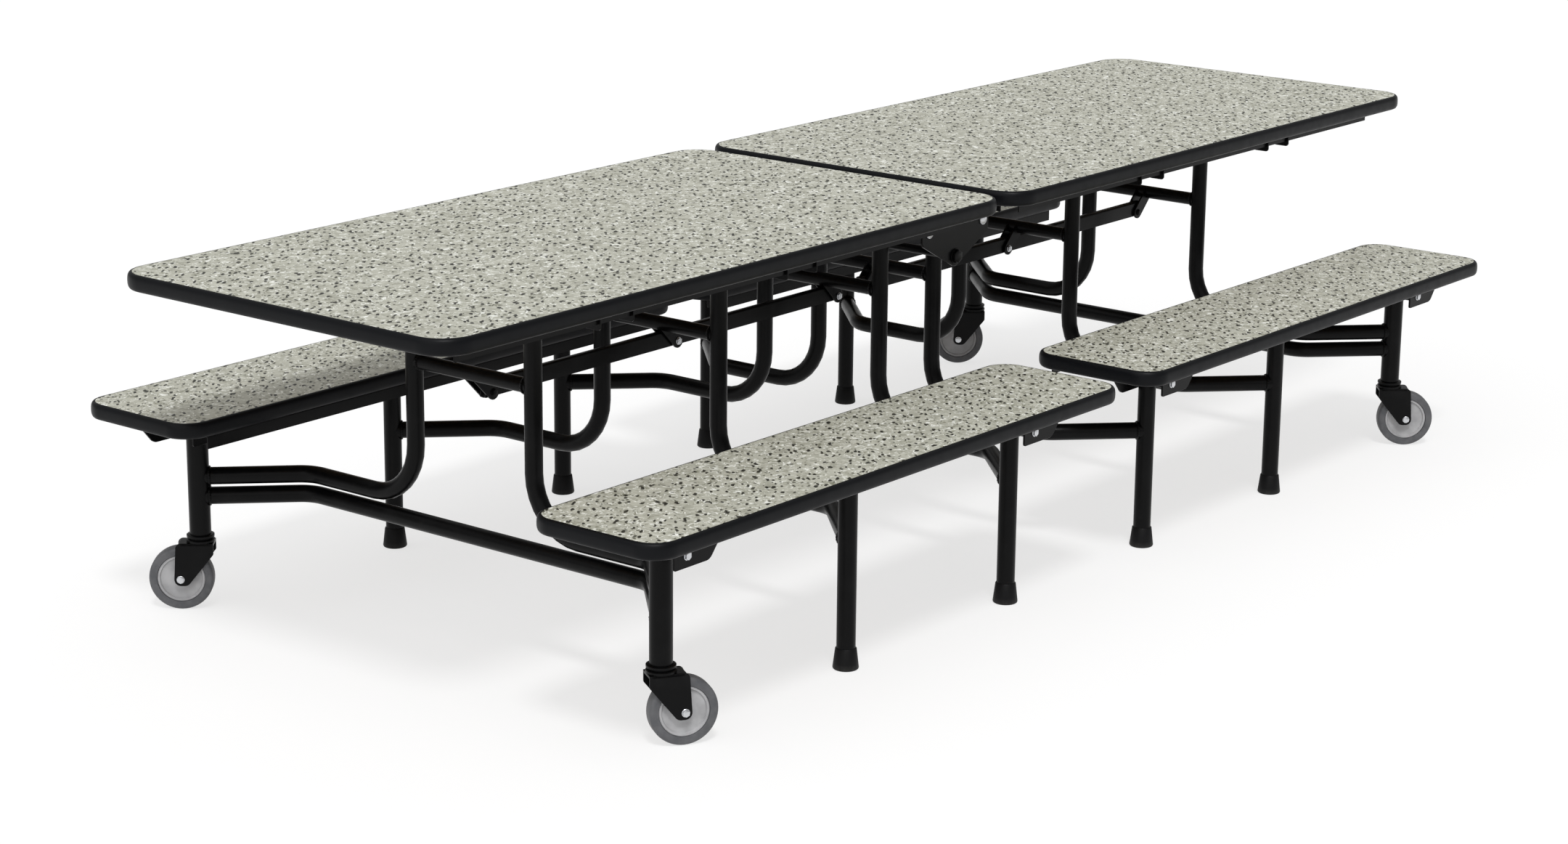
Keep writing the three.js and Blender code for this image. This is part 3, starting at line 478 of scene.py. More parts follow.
def moulded_band():
    material, tree, shader, where = blank_finish("moulded_band")
    scuffed = cloud(tree, where, *BAND_SCUFFS, *BAND_ROUGHNESS)
    feed(tree, shader, {"Base Color": BAND_COLOUR, "Roughness": scuffed, "Specular IOR Level": BAND_SHINE})
    grained(tree, shader, where, *BAND_GRAIN)
    return material


def powder_coat():
    material, tree, shader, where = blank_finish("powder_coat")
    rubbed = cloud(tree, where, *COAT_RUBBING)
    black = between(tree, rubbed, COAT_COLOUR, COAT_RUBBED_COLOUR)
    roughness = ranged(tree, rubbed, 0, 1, *COAT_ROUGHNESS)
    feed(tree, shader, {"Base Color": black, "Roughness": roughness, "Specular IOR Level": COAT_SHINE})
    grained(tree, shader, where, *COAT_GRAIN)
    return material


def boot_rubber():
    material, tree, shader, where = blank_finish("boot_rubber")
    height = add(tree, "ShaderNodeSeparateXYZ", {"Vector": where}).outputs["Z"]
    dust = noise(tree, where, DUST_SCALE, DUST_DETAIL).outputs["Fac"]
    grime = times(tree, ranged(tree, height, DUST_HEIGHT, 0.0), dust)
    black = between(tree, grime, RUBBER_COLOUR, FLOOR_DUST_COLOUR)
    feed(tree, shader, {"Base Color": black, "Roughness": BOOT_ROUGHNESS, "Specular IOR Level": BOOT_SHINE})
    grained(tree, shader, where, *BOOT_GRAIN)
    return material


def board_backing():
    """The underside: pressed chips, lighter and darker, under no laminate."""
    material, tree, shader, where = blank_finish("board_backing")
    chips = add(tree, "ShaderNodeTexVoronoi", {"Vector": where, "Scale": CHIP_SCALE})
    tone = add(tree, "ShaderNodeRGBToBW", {"Color": chips.outputs["Color"]}).outputs[0]
    brown = between(tree, tone, BACKING_DARK, BACKING_LIGHT)
    feed(tree, shader, {"Base Color": brown, "Roughness": BACKING_ROUGHNESS})
    bumped(tree, shader, tone, *BACKING_BUMP)
    return material


def bright_zinc():
    material, tree, shader, where = blank_finish("bright_zinc")
    stained = cloud(tree, where, *ZINC_STAINS, *ZINC_ROUGHNESS)
    feed(tree, shader, {"Base Color": ZINC_COLOUR, "Metallic": 1.0, "Roughness": stained})
    return material


BAND = moulded_band()
COAT = powder_coat()
BOOT = boot_rubber()
BACKING = board_backing()
ZINC = bright_zinc()

# %% [markdown]
# ### Grey wheels
# A caster wheel has a dark grey tread bonded to a paler grey disc. Both are slightly uneven in tone, because
# moulded grey plastic is, and the tread is duller where it rolls.

# %% Wheel finishes
TREAD_COLOUR = (0.075, 0.077, 0.083, 1)
TREAD_WORN_COLOUR = (0.105, 0.106, 0.112, 1)
DISC_COLOUR = (0.30, 0.30, 0.307, 1)
DISC_PALE_COLOUR = (0.40, 0.40, 0.408, 1)
MOTTLE_DETAIL = 4.0
MOTTLE_LEVELS = (0.35, 0.65)
TREAD_MOTTLE_SCALE = 60
TREAD_ROUGHNESS = 0.45
DISC_MOTTLE_SCALE = 35
DISC_ROUGHNESS = 0.34
WHEEL_ROUGHNESS_RISE = 0.1
WHEEL_SHINE = 0.4
WHEEL_GRAIN = (700, 2.0, 0.1, 0.0002)


def mottled_grey(name, first, second, scale, roughness):
    material, tree, shader, where = blank_finish(name)
    mottle = cloud(tree, where, scale, MOTTLE_DETAIL, *MOTTLE_LEVELS)
    grey = between(tree, mottle, first, second)
    worn = ranged(tree, mottle, 0, 1, roughness, roughness + WHEEL_ROUGHNESS_RISE)
    feed(tree, shader, {"Base Color": grey, "Roughness": worn, "Specular IOR Level": WHEEL_SHINE})
    grained(tree, shader, where, *WHEEL_GRAIN)
    return material


TREAD = mottled_grey("grey_tread", TREAD_COLOUR, TREAD_WORN_COLOUR, TREAD_MOTTLE_SCALE, TREAD_ROUGHNESS)
DISC = mottled_grey("grey_disc", DISC_COLOUR, DISC_PALE_COLOUR, DISC_MOTTLE_SCALE, DISC_ROUGHNESS)
print(len(bpy.data.materials), "materials")

# %% [markdown]
# ## Boards and their bands
# A top is a slab with rounded corners and a black band round its edge. The band is half round on the outside,
# a little squarer than a true half circle. Its section is a superellipse, carried round the outline: the
# distance past the board is width cos(t)^(2/n) and the height is half the thickness times sin(t)^(2/n).

# %% Boards
HALVES = (("left", -1.0), ("right", 1.0))
ROWS = (("front", -1.0), ("rear", 1.0))
TOP_CORNER = 0.062
BENCH_CORNER = 0.050
CORNER_STEPS = 14
BAND_WIDTH = 0.008
BAND_STEPS = 14
BAND_SQUARENESS = 2.7
FACING_DOWN = -0.5


def board_outline(low, high, corner):
    """Corner arcs of a rounded rectangle as points, with the outward direction at each point."""
    quarter = np.linspace(0, np.pi / 2, CORNER_STEPS + 1)
    angle = (np.arange(4)[:, None] * np.pi / 2 + quarter).ravel()
    outward = np.stack([np.cos(angle), np.sin(angle)], axis=1)
    signs = np.repeat([[1, 1], [-1, 1], [-1, -1], [1, -1]], CORNER_STEPS + 1, axis=0)
    middle = (low + high) / 2
    half = (high - low) / 2 - corner
    return middle + signs * half + corner * outward, outward


def banded_board(label, body, board_node, band_node, corner):
    """A board with laminate above and bare backing below, and its band."""
    low, high = (np.array(point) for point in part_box(band_node))
    outline, outward = board_outline(low[:2], high[:2], corner)
    inner = outline - BAND_WIDTH * outward
    rings = [np.column_stack([inner, np.full(len(inner), height)]) for height in (low[2], high[2])]
    board = piece(f"board_{label}", [skin(rings)], LAMINATE, body, [board_node])
    board.data.materials.append(BACKING)
    facing = np.empty(len(board.data.polygons) * 3)
    board.data.polygons.foreach_get("normal", facing)
    downward = (facing[2::3] < FACING_DOWN).astype(np.int32)
    board.data.polygons.foreach_set("material_index", downward)

    angle = np.linspace(-np.pi / 2, np.pi / 2, BAND_STEPS + 1)
    power = 2 / BAND_SQUARENESS
    past = BAND_WIDTH * (np.abs(np.cos(angle)) ** power - 1)
    half_height = (high[2] - low[2]) / 2
    height = low[2] + half_height * (1 + np.sign(np.sin(angle)) * np.abs(np.sin(angle)) ** power)
    level = outline[:, None] + past[None, :, None] * outward[:, None]
    rings = np.concatenate([level, np.broadcast_to(height[None, :, None], (*level.shape[:2], 1))], axis=2)
    piece(f"edge_{label}", [skin(rings, loop=True)], BAND, body, [band_node])


for half, _ in HALVES:
    banded_board(f"top_{half}", f"table_top_{half}", f"top_{half}", f"top_band_{half}", TOP_CORNER)
    for row, _ in ROWS:
        place = f"{half}_{row}"
        banded_board(f"bench_{place}", f"seat_{place}", f"bench_{place}", f"bench_band_{place}", BENCH_CORNER)
print("six boards with bands")

# %% [markdown]
# ## Bolts and washers
# The pivots show as bolt heads. A head is a six-sided prism with its upper edge turned off, on a round
# washer. Both are profiles spun about the bolt's axis.

# %% Bolts
WASHER_OVER_HEAD = 1.12
WASHER_THICKNESS = 0.0014
WASHER_SIDE_SHARE = 0.7
WASHER_EDGE = 0.0005
HEAD_RIM_SHARE = 1 / 7
BOLT_SIDES = 36
DOME_SWEEP = 0.46 * np.pi
DOME_POINTS = 7
DOME_RIM_SHARE = 0.35


def bolt_head(at, axis, radius, height):
    """A washer and a hexagonal head whose rim is chamfered by a share of its radius."""
    rim = radius * HEAD_RIM_SHARE
    wide = radius * WASHER_OVER_HEAD
    side = WASHER_THICKNESS * WASHER_SIDE_SHARE
    washer = [(wide, 0), (wide, side), (wide - WASHER_EDGE, WASHER_THICKNESS)]
    head = [(radius, WASHER_THICKNESS), (radius, height - rim / 2), (radius - rim, height)]
    return [spun(washer, at, axis, BOLT_SIDES), spun(head, at, axis, BOLT_SIDES, flats=6)]


def domed_head(at, axis, radius, height):
    """A button head: a quarter ellipse from its rim to its middle."""
    angle = np.linspace(0, DOME_SWEEP, DOME_POINTS)
    rise = DOME_RIM_SHARE + (1 - DOME_RIM_SHARE) * np.sin(angle)
    dome = np.column_stack([radius * np.cos(angle), height * rise])
    return spun(np.concatenate([[(radius, 0)], dome]), at, axis, BOLT_SIDES)


# %% [markdown]
# ## Leg frames
# Each frame is two posts joined by a pair of swan necks. A neck tube leaves its post on the slant, runs level
# under the top and bends up to the pivot rod. A crossbar joins the two necks. The outer frames have stouter
# posts over the casters and a second tube below, which ties the posts together. The places of posts and
# pivots come from the joints, and only the tube sizes and bends are set here.

# %% Leg frames
TUBE_RADIUS = 0.0155
GLIDE_POST_RADIUS = 0.0165
CASTER_POST_RADIUS = 0.019
CROSSBAR_RADIUS = 0.013
CROSSBAR_HEIGHT = 0.490
LEVEL_TUBE_HEIGHT = 0.226
CASTER_LEVEL_TUBE_HEIGHT = 0.242
TIE_TUBE_HEIGHT = 0.206
NECK_Y = 0.137
NECK_ABOVE_PIVOT = 0.014
PLAN_BEND_Y = 0.395
PLAN_BEND_RADIUS = 0.060
NECK_BEND_RADIUS = 0.100
POST_ABOVE_PIVOT = 0.022
POST_EDGE = 0.003
MIDDLE_POST_CROWN = 0.012
MIDDLE_POST_TO_BOARD = 0.0015
POST_CROWN_POINTS = 7
POST_TO_CASTER = 0.0003
GLIDE_POST_FOOT = 0.0083
WELD_RADIUS = 0.0026
WELD_SECTION_SIDES = 8
WELD_RIPPLES = 22
WELD_RIPPLE_STEPS = 4
WELD_RIPPLE_SHARE = 0.12
BODY_OF_LEGS = {"inner": "centre", "middle": "middle_legs_{}", "outer": "outer_legs_{}"}

neck_x = {
    "inner": joint_at["fold_right"][0],
    "middle": joint_at["level_middle_right"][0],
    "outer": joint_at["level_outer_right"][0],
}
top_pivot_height = joint_at["fold_right"][2]
bench_pivot = np.abs(joint_at["seat_fold_right_front"])
post_y = bench_pivot[1]
post_outset = bench_pivot[0] - neck_x["inner"]
caster_top = joint_at["swivel_left_front"][2]
bench_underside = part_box("bench_band_left_front")[0].z


def weld(at, axis, radius):
    """A rippled bead round a level tube: a small circle carried round the tube, its size waving a little."""
    around = np.linspace(0, 2 * np.pi, WELD_RIPPLE_STEPS * WELD_RIPPLES, endpoint=False)[:, None]
    section = np.linspace(0, 2 * np.pi, WELD_SECTION_SIDES, endpoint=False)
    size = WELD_RADIUS * (1 + WELD_RIPPLE_SHARE * np.sin(WELD_RIPPLES * around))
    axis = unit(np.asarray(axis, float))
    east = unit(np.cross(axis, Z))
    north = np.cross(axis, east)
    out = np.cos(around)[..., None] * east + np.sin(around)[..., None] * north
    reach = radius + size * np.cos(section)
    rings = np.asarray(at, float) + reach[..., None] * out + (size * np.sin(section))[..., None] * axis
    return skin(rings, loop=True)


def post(x, y, name):
    """A turned post, with a small edge round its top, or a crown where it only meets the board."""
    radius = CASTER_POST_RADIUS if name == "outer" else GLIDE_POST_RADIUS
    foot = caster_top + POST_TO_CASTER if name == "outer" else GLIDE_POST_FOOT
    crowned = name == "middle"
    head = bench_underside - MIDDLE_POST_TO_BOARD if crowned else bench_pivot[2] + POST_ABOVE_PIVOT
    edge = MIDDLE_POST_CROWN if crowned else POST_EDGE
    angle = np.linspace(0, np.pi / 2, POST_CROWN_POINTS)
    crown = np.column_stack([radius - edge + edge * np.cos(angle), head - edge + edge * np.sin(angle)])
    return spun(np.concatenate([[(radius, foot)], crown]), (x, y, 0), Z)


def neck_run(side, row_side, name, height):
    """The centre line of a neck tube, from its post to just above the pivot rod."""
    x = side * neck_x[name]
    corners = [
        (side * (neck_x[name] + post_outset), row_side * post_y, height),
        (x, row_side * PLAN_BEND_Y, height),
        (x, row_side * NECK_Y, height),
        (x, row_side * NECK_Y, top_pivot_height + NECK_ABOVE_PIVOT),
    ]
    return rounded_run(corners, [0, PLAN_BEND_RADIUS, NECK_BEND_RADIUS, 0])


def tie_run(side):
    """The centre line of the lower tube between the two caster posts."""
    x = side * neck_x["outer"]
    end = side * (neck_x["outer"] + post_outset)
    corners = [(end, -post_y, TIE_TUBE_HEIGHT), (x, -PLAN_BEND_Y, TIE_TUBE_HEIGHT),
               (x, PLAN_BEND_Y, TIE_TUBE_HEIGHT), (end, post_y, TIE_TUBE_HEIGHT)]
    return rounded_run(corners, [0, PLAN_BEND_RADIUS, PLAN_BEND_RADIUS, 0])


# %% [markdown]
# Under each crossbar hangs a lug: two plates with round ends and the bolt that the spine bar swings on. The
# outline of such a plate is two half circles, one round each centre, joined by straight sides.

# %% Lugs
SPINE_WIDTH = 0.014
SPINE_SIDE_PLAY = 0.001
LUG_PLATE = 0.004
LUG_RADIUS = 0.013
LUG_BEVEL = 0.0006
LUG_END_POINTS = 13
SPINE_PIN_RADIUS = 0.005
SPINE_BOLT_RADIUS = 0.0062
SPINE_BOLT_HEIGHT = 0.004

spine_inset = neck_x["inner"] - joint_at["spine_fold_right"][0]
spine_pivot_height = joint_at["spine_fold_right"][2]


def link_outline(first, second, radius):
    """Half a circle round each of two points, facing away from the other."""
    first, second = np.array(first, float), np.array(second, float)
    along = np.arctan2(*(second - first)[::-1])
    half_turn = np.linspace(-np.pi / 2, np.pi / 2, LUG_END_POINTS)
    ends = [(second, along + half_turn), (first, along + np.pi + half_turn)]
    return np.concatenate([centre + radius * np.column_stack([np.cos(angle), np.sin(angle)])
                           for centre, angle in ends])


def spine_lug(side, name):
    """Plates of the lug, and the bolt heads outside them."""
    x = side * neck_x[name]
    pivot = (x - side * spine_inset, spine_pivot_height)
    outline = link_outline((x, CROSSBAR_HEIGHT), pivot, LUG_RADIUS)
    inside = SPINE_WIDTH / 2 + SPINE_SIDE_PLAY
    plates, heads = [], []
    for face in (-1, 1):
        plates.append(solid(outline, LUG_PLATE, LUG_BEVEL, (0, face * inside, 0), (X, Z, face * Y)))
        outside = (pivot[0], face * (inside + LUG_PLATE), pivot[1])
        heads += bolt_head(outside, face * Y, SPINE_BOLT_RADIUS, SPINE_BOLT_HEIGHT)
    pin = round_bar(SPINE_PIN_RADIUS, -inside, inside, (pivot[0], 0, pivot[1]), Y)
    return plates, heads + [pin]


# %% Build the leg frames
def leg_frame(half, side, name):
    caster = name == "outer"
    height = CASTER_LEVEL_TUBE_HEIGHT if caster else LEVEL_TUBE_HEIGHT
    x = side * neck_x[name]
    end = side * (neck_x[name] + post_outset)
    post_radius = CASTER_POST_RADIUS if caster else GLIDE_POST_RADIUS
    steel = []
    for _, row_side in ROWS:
        run = neck_run(side, row_side, name, height)
        steel += [post(end, row_side * post_y, name), tube(run, TUBE_RADIUS, X)]
        leave = unit(run[1] - run[0])
        steel.append(weld(run[0] + leave * post_radius, leave, TUBE_RADIUS))
        steel.append(weld((x, row_side * (NECK_Y - TUBE_RADIUS), CROSSBAR_HEIGHT), Y, CROSSBAR_RADIUS))
        if caster:
            low_end = run[0] * (1, 1, 0) + Z * TIE_TUBE_HEIGHT
            steel.append(weld(low_end + leave * post_radius, leave, TUBE_RADIUS))
    if caster:
        steel.append(tube(tie_run(side), TUBE_RADIUS, Z))
    steel.append(tube([(x, -NECK_Y, CROSSBAR_HEIGHT), (x, NECK_Y, CROSSBAR_HEIGHT)], CROSSBAR_RADIUS, Z))
    plates, heads = spine_lug(side, name)
    body = BODY_OF_LEGS[name].format(half)
    piece(f"legs_{name}_{half}", steel + plates, COAT, body, [f"frame_{name}_{half}"])
    finish, slot = (COAT, "powder_coat") if caster else (ZINC, "zinc")
    piece(f"spine_bolts_{name}_{half}", heads, finish, body)


for half, side in HALVES:
    for name in neck_x:
        leg_frame(half, side, name)
print("six leg frames")

# %% [markdown]
# ## Rubber boots
# The inner and middle posts stand in rubber boots: a tapered cup with a rounded foot. It is one profile, up
# the outside and down the inside, spun about the post.

# %% Boots
BOOT_FOOT_RADIUS = 0.0225
BOOT_TOP_RADIUS = 0.0184
BOOT_FOOT_ROUND = 0.0035
BOOT_TOP_ROUND = 0.0015
BOOT_LIP = 0.0006
BOOT_SOLE = 0.008
BOOT_TO_POST = 0.0001
BOOT_FOOT_POINTS = 6
BOOT_SIDES = 40


def boot(node, body):
    low, high = (np.array(point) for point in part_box(node))
    at = ((low[0] + high[0]) / 2, (low[1] + high[1]) / 2, 0)
    height = high[2]
    angle = np.linspace(-np.pi / 2, 0, BOOT_FOOT_POINTS)
    foot = np.column_stack([BOOT_FOOT_RADIUS - BOOT_FOOT_ROUND * (1 - np.cos(angle)),
                            BOOT_FOOT_ROUND * (1 + np.sin(angle))])
    bore = GLIDE_POST_RADIUS + BOOT_TO_POST
    wall = [(BOOT_TOP_RADIUS, height - BOOT_TOP_ROUND), (bore + BOOT_LIP, height),
            (bore, height), (bore, BOOT_SOLE)]
    cup = spun(np.concatenate([foot, wall]), at, Z, BOOT_SIDES)
    piece(node.replace("boot", "foot"), [cup], BOOT, body, [node])


for half, _ in HALVES:
    for name in ("inner", "middle"):
        for row, _ in ROWS:
            boot(f"boot_{name}_{half}_{row}", BODY_OF_LEGS[name].format(half))
print("eight boots")

# %% [markdown]
# ## Pivot rods
# A rod runs through the two neck tops of each frame, and the top swings on it. The inner rods also pass
# through the centre plates, where their heads show.

# %% Rods
ROD_RADIUS = 0.006
ROD_HEAD_RADIUS = 0.010
ROD_HEAD_HEIGHT = 0.0055
ROD_HEAD_ROOM = 0.006


def pivot_rod(node, body):
    low, high = (np.array(point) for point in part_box(node))
    at = np.array([(low[0] + high[0]) / 2, 0, (low[2] + high[2]) / 2])
    reach = high[1] - ROD_HEAD_ROOM
    shaft = [round_bar(ROD_RADIUS, -reach, reach, at, Y)]
    heads = [domed_head(at + face * reach * Y, face * Y, ROD_HEAD_RADIUS, ROD_HEAD_HEIGHT)
             for face in (-1, 1)]
    piece(node.replace("rod", "pivot"), shaft + heads, ZINC, body, [node])


for half, _ in HALVES:
    for name in neck_x:
        pivot_rod(f"rod_{name}_{half}", BODY_OF_LEGS[name].format(half))
print("six pivot rods")

# %% [markdown]
# ## Steel under the tops
# Two angle rails stiffen each top along its sides, and a channel crosses it over each frame. Ears hang from
# the channel on both sides of each neck and hold the pivot rod. All of it is folded sheet: a thin L or C
# profile with rounded folds, carried along a straight line. Over the middle and outer frames, plates stiffen
# the ends of the channels and show below the rails.

# %% Top steel
SHEET = 0.003
SHEET_FOLD = 0.004
SHEET_FOLD_STEPS = 5
SHEET_BEVEL = 0.0005
RAIL_DEPTH = 0.026
RAIL_FLANGE = 0.025
RAIL_FROM_SIDE = 0.058
RAIL_FROM_INNER_END = 0.088
RAIL_FROM_OUTER_END = 0.080
CHANNEL_HALF = 0.040
CHANNEL_DEPTH = 0.016
EAR_HALF = 0.018
EAR_ROUND = 0.98 * EAR_HALF
EAR_PLATE = 0.004
EAR_TO_NECK = 0.0025
END_PLATE_DEPTH = 0.036
END_PLATE_LENGTH = 0.030
END_PLATE_PAST_RAIL = 0.005
END_PLATE_CORNER = 0.006


def angle_section(depth, flange):
    """An L: a leg hanging down from the fold and a flange across the top. First coordinate is across."""
    corners = [(0, 0), (flange, 0), (flange, -SHEET), (SHEET, -SHEET), (SHEET, -depth), (0, -depth)]
    return rounded_run(corners, [SHEET_FOLD, 0, 0, SHEET_FOLD - SHEET, 0, 0], SHEET_FOLD_STEPS)


def channel_section(half, depth):
    """A C open below: a web across the top and two legs."""
    inner = half - SHEET
    corners = [(-half, 0), (half, 0), (half, -depth), (inner, -depth),
               (inner, -SHEET), (-inner, -SHEET), (-inner, -depth), (-half, -depth)]
    fold = SHEET_FOLD - SHEET
    return rounded_run(corners, [SHEET_FOLD, SHEET_FOLD, 0, 0, fold, fold, 0, 0], SHEET_FOLD_STEPS)


def end_plates(x, rail_y, seat):
    """Four plates at the ends of one channel, on both of its legs, with their lower corners rounded."""
    first, last = rail_y - END_PLATE_LENGTH, rail_y + END_PLATE_PAST_RAIL
    top, bottom = seat - SHEET / 2, seat - END_PLATE_DEPTH
    outline = rounded_run(rectangle(first, last, top, bottom), [0, 0, END_PLATE_CORNER, END_PLATE_CORNER])
    starts = [x + face * CHANNEL_HALF - SHEET / 2 for face in (-1, 1)]
    return [solid(outline, SHEET, SHEET_BEVEL, (start, 0, 0), (row_side * Y, Z, X))
            for start in starts for _, row_side in ROWS]


def top_steel(half, side):
    node = f"top_underframe_{half}"
    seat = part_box(node)[1].z
    low, high = (np.array(point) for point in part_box(f"top_band_{half}"))
    rail_y = high[1] - RAIL_FROM_SIDE
    rail_start = side * (min(abs(low[0]), abs(high[0])) + RAIL_FROM_INNER_END)
    rail_length = high[0] - low[0] - RAIL_FROM_INNER_END - RAIL_FROM_OUTER_END
    steel = []
    for _, row_side in ROWS:
        at = (rail_start, row_side * rail_y, seat)
        section = angle_section(RAIL_DEPTH, RAIL_FLANGE)
        steel.append(solid(section, rail_length, SHEET_BEVEL, at, (-row_side * Y, Z, side * X)))
    for name, distance in neck_x.items():
        x = side * distance
        width = 2 * (rail_y - SHEET)
        at = (x, -rail_y + SHEET, seat)
        steel.append(solid(channel_section(CHANNEL_HALF, CHANNEL_DEPTH), width, SHEET_BEVEL, at, (X, Z, Y)))
        bottom = top_pivot_height - EAR_HALF
        ear = rounded_run(rectangle(-EAR_HALF, EAR_HALF, seat, bottom), [0, 0, EAR_ROUND, EAR_ROUND])
        for neck_side in (-1, 1):
            for face in (-1, 1):
                y = neck_side * NECK_Y + face * (TUBE_RADIUS + EAR_TO_NECK)
                steel.append(solid(ear, EAR_PLATE, SHEET_BEVEL, (x, y, 0), (X, Z, face * Y)))
        if name != "inner":
            steel += end_plates(x, rail_y, seat)
    piece(f"steel_top_{half}", steel, COAT, f"table_top_{half}", [node])


for half, side in HALVES:
    top_steel(half, side)
print("two top frames")

# %% [markdown]
# ## Steel under the benches
# An angle rail runs along each bench's inner edge. Over each pivot post sits a bracket: a flat web, two
# plates that hang down on either side of the post, and a bolt through both. The long ends of the two plates
# point opposite ways, and each has its lower corner cut off on the slant.

# %% Bench steel
BENCH_RAIL_FROM_EDGE = 0.012
BENCH_RAIL_DEPTH = 0.024
BENCH_RAIL_FLANGE = 0.030
BRACKET_PLATE = 0.004
BRACKET_SHORT = 0.030
BRACKET_LONG = 0.086
BRACKET_LONG_OVER_TUBE = 0.045
BRACKET_BELOW_PIVOT = 0.020
BRACKET_SLANT = 0.030
BRACKET_SLANT_FOOT = 0.036
BRACKET_ROUNDS = (0, 0.004, 0.018, 0.010, 0)
BRACKET_TO_POST = 0.0015
BRACKET_INSIDE_WIDTH = 0.0695
BENCH_BOLT_RADIUS = 0.007
BENCH_BOLT_HEIGHT = 0.0048
BENCH_SHANK_RADIUS = 0.006
BENCH_SPACER_RADIUS = 0.011
BENCH_SPACER_TO_POST = 0.001


def bracket_outline(reach, seat):
    """From the square end past the bolt to the slanted end, measured from the bolt's X."""
    toward = np.sign(reach)
    bottom = bench_pivot[2] - BRACKET_BELOW_PIVOT
    corners = [(-toward * BRACKET_SHORT, seat), (-toward * BRACKET_SHORT, bottom),
               (reach - toward * BRACKET_SLANT, bottom), (reach, bottom + BRACKET_SLANT_FOOT), (reach, seat)]
    return rounded_run(corners, BRACKET_ROUNDS)


def bench_bracket(x, side, row_side, post_radius, seat):
    """Plates and spacer of one bracket, then its bolt."""
    inner = post_y - CASTER_POST_RADIUS - BRACKET_TO_POST
    outer = inner + BRACKET_INSIDE_WIDTH
    over_tube = row_side * side > 0
    inner_reach = row_side * (BRACKET_LONG_OVER_TUBE if over_tube else BRACKET_LONG)
    steel, bolts = [], []
    for reach, y, face in ((inner_reach, inner, -1), (-row_side * BRACKET_LONG, outer, 1)):
        outline = bracket_outline(reach, seat)
        direction = face * row_side * Y
        steel.append(solid(outline, BRACKET_PLATE, SHEET_BEVEL, (x, row_side * y, 0), (X, Z, direction)))
        head_at = (x, row_side * (y + face * BRACKET_PLATE), bench_pivot[2])
        bolts += bolt_head(head_at, direction, BENCH_BOLT_RADIUS, BENCH_BOLT_HEIGHT)
    at = (x, 0, bench_pivot[2])
    bolts.append(round_bar(BENCH_SHANK_RADIUS, inner, outer, at, row_side * Y))
    spacer_start = post_y + post_radius + BENCH_SPACER_TO_POST
    steel.append(round_bar(BENCH_SPACER_RADIUS, spacer_start, outer, at, row_side * Y))
    return steel, bolts


def bench_steel(half, side, row, row_side):
    place = f"{half}_{row}"
    node = f"bench_underframe_{place}"
    low, high = (np.array(point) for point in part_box(node))
    seat = high[2]
    rail_y = abs(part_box(f"bench_band_{place}")[0 if row_side > 0 else 1].y) + BENCH_RAIL_FROM_EDGE
    bracket_end = post_y - CASTER_POST_RADIUS - BRACKET_TO_POST + BRACKET_INSIDE_WIDTH + BRACKET_PLATE
    section = angle_section(BENCH_RAIL_DEPTH, BENCH_RAIL_FLANGE)
    at = (low[0], row_side * rail_y, seat)
    steel = [solid(section, high[0] - low[0], SHEET_BEVEL, at, (row_side * Y, Z, X))]
    bolts = []
    for name, post_radius in (("inner", GLIDE_POST_RADIUS), ("outer", CASTER_POST_RADIUS)):
        x = side * (neck_x[name] + post_outset)
        web = rectangle(-BRACKET_LONG, BRACKET_LONG, rail_y, bracket_end)
        steel.append(solid(web, SHEET, SHEET_BEVEL, (x, 0, seat - SHEET), (X, row_side * Y, Z)))
        more_steel, more_bolts = bench_bracket(x, side, row_side, post_radius, seat)
        steel += more_steel
        bolts += more_bolts
    piece(f"steel_bench_{place}", steel, COAT, f"seat_{place}", [node])
    piece(f"bench_bolts_{place}", bolts, ZINC, f"seat_{place}")


for half, side in HALVES:
    for row, row_side in ROWS:
        bench_steel(half, side, row, row_side)
print("four bench frames")

# %% [markdown]
# ## Spine bars
# A narrow channel runs along the centre line of each half, through the three lugs. It keeps the frames
# upright as the table folds.

# %% Spines
for half, side in HALVES:
    node = f"spine_{half}"
    low, high = (np.array(point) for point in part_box(node))
    section = channel_section(SPINE_WIDTH / 2, high[2] - low[2])
    bar = solid(section, high[0] - low[0], SHEET_BEVEL, (low[0], 0, high[2]), (Y, Z, X))
    piece(f"spine_rail_{half}", [bar], COAT, f"spine_bar_{half}", [node])
print("two spine bars")

# %% [markdown]
# ## Centre plates
# Two plates, shaped like blunt triangles standing on their points, join the inner frames below the gap
# between the tops. A lip along the top is folded outward. A stout rod ties the two plates together at their
# feet, and its nuts show as the largest bolts on the table.

# %% Centre plates
PLATE_SHOULDER_DROP = 0.038
PLATE_POINT_DROP = 0.0935
PLATE_THICKNESS = 0.005
PLATE_ROUNDS = (0.008, 0.014, 0.019, 0.014, 0.008)
PLATE_BEVEL = 0.0008
PLATE_LIP = 0.012
PLATE_LIP_THICKNESS = 0.004
PLATE_LIP_CORNER = 0.010
PLATE_LIP_BEVEL = 0.001
TIE_NUT_RADIUS = 0.013
TIE_NUT_HEIGHT = 0.008
TIE_ROD_RADIUS = 0.008

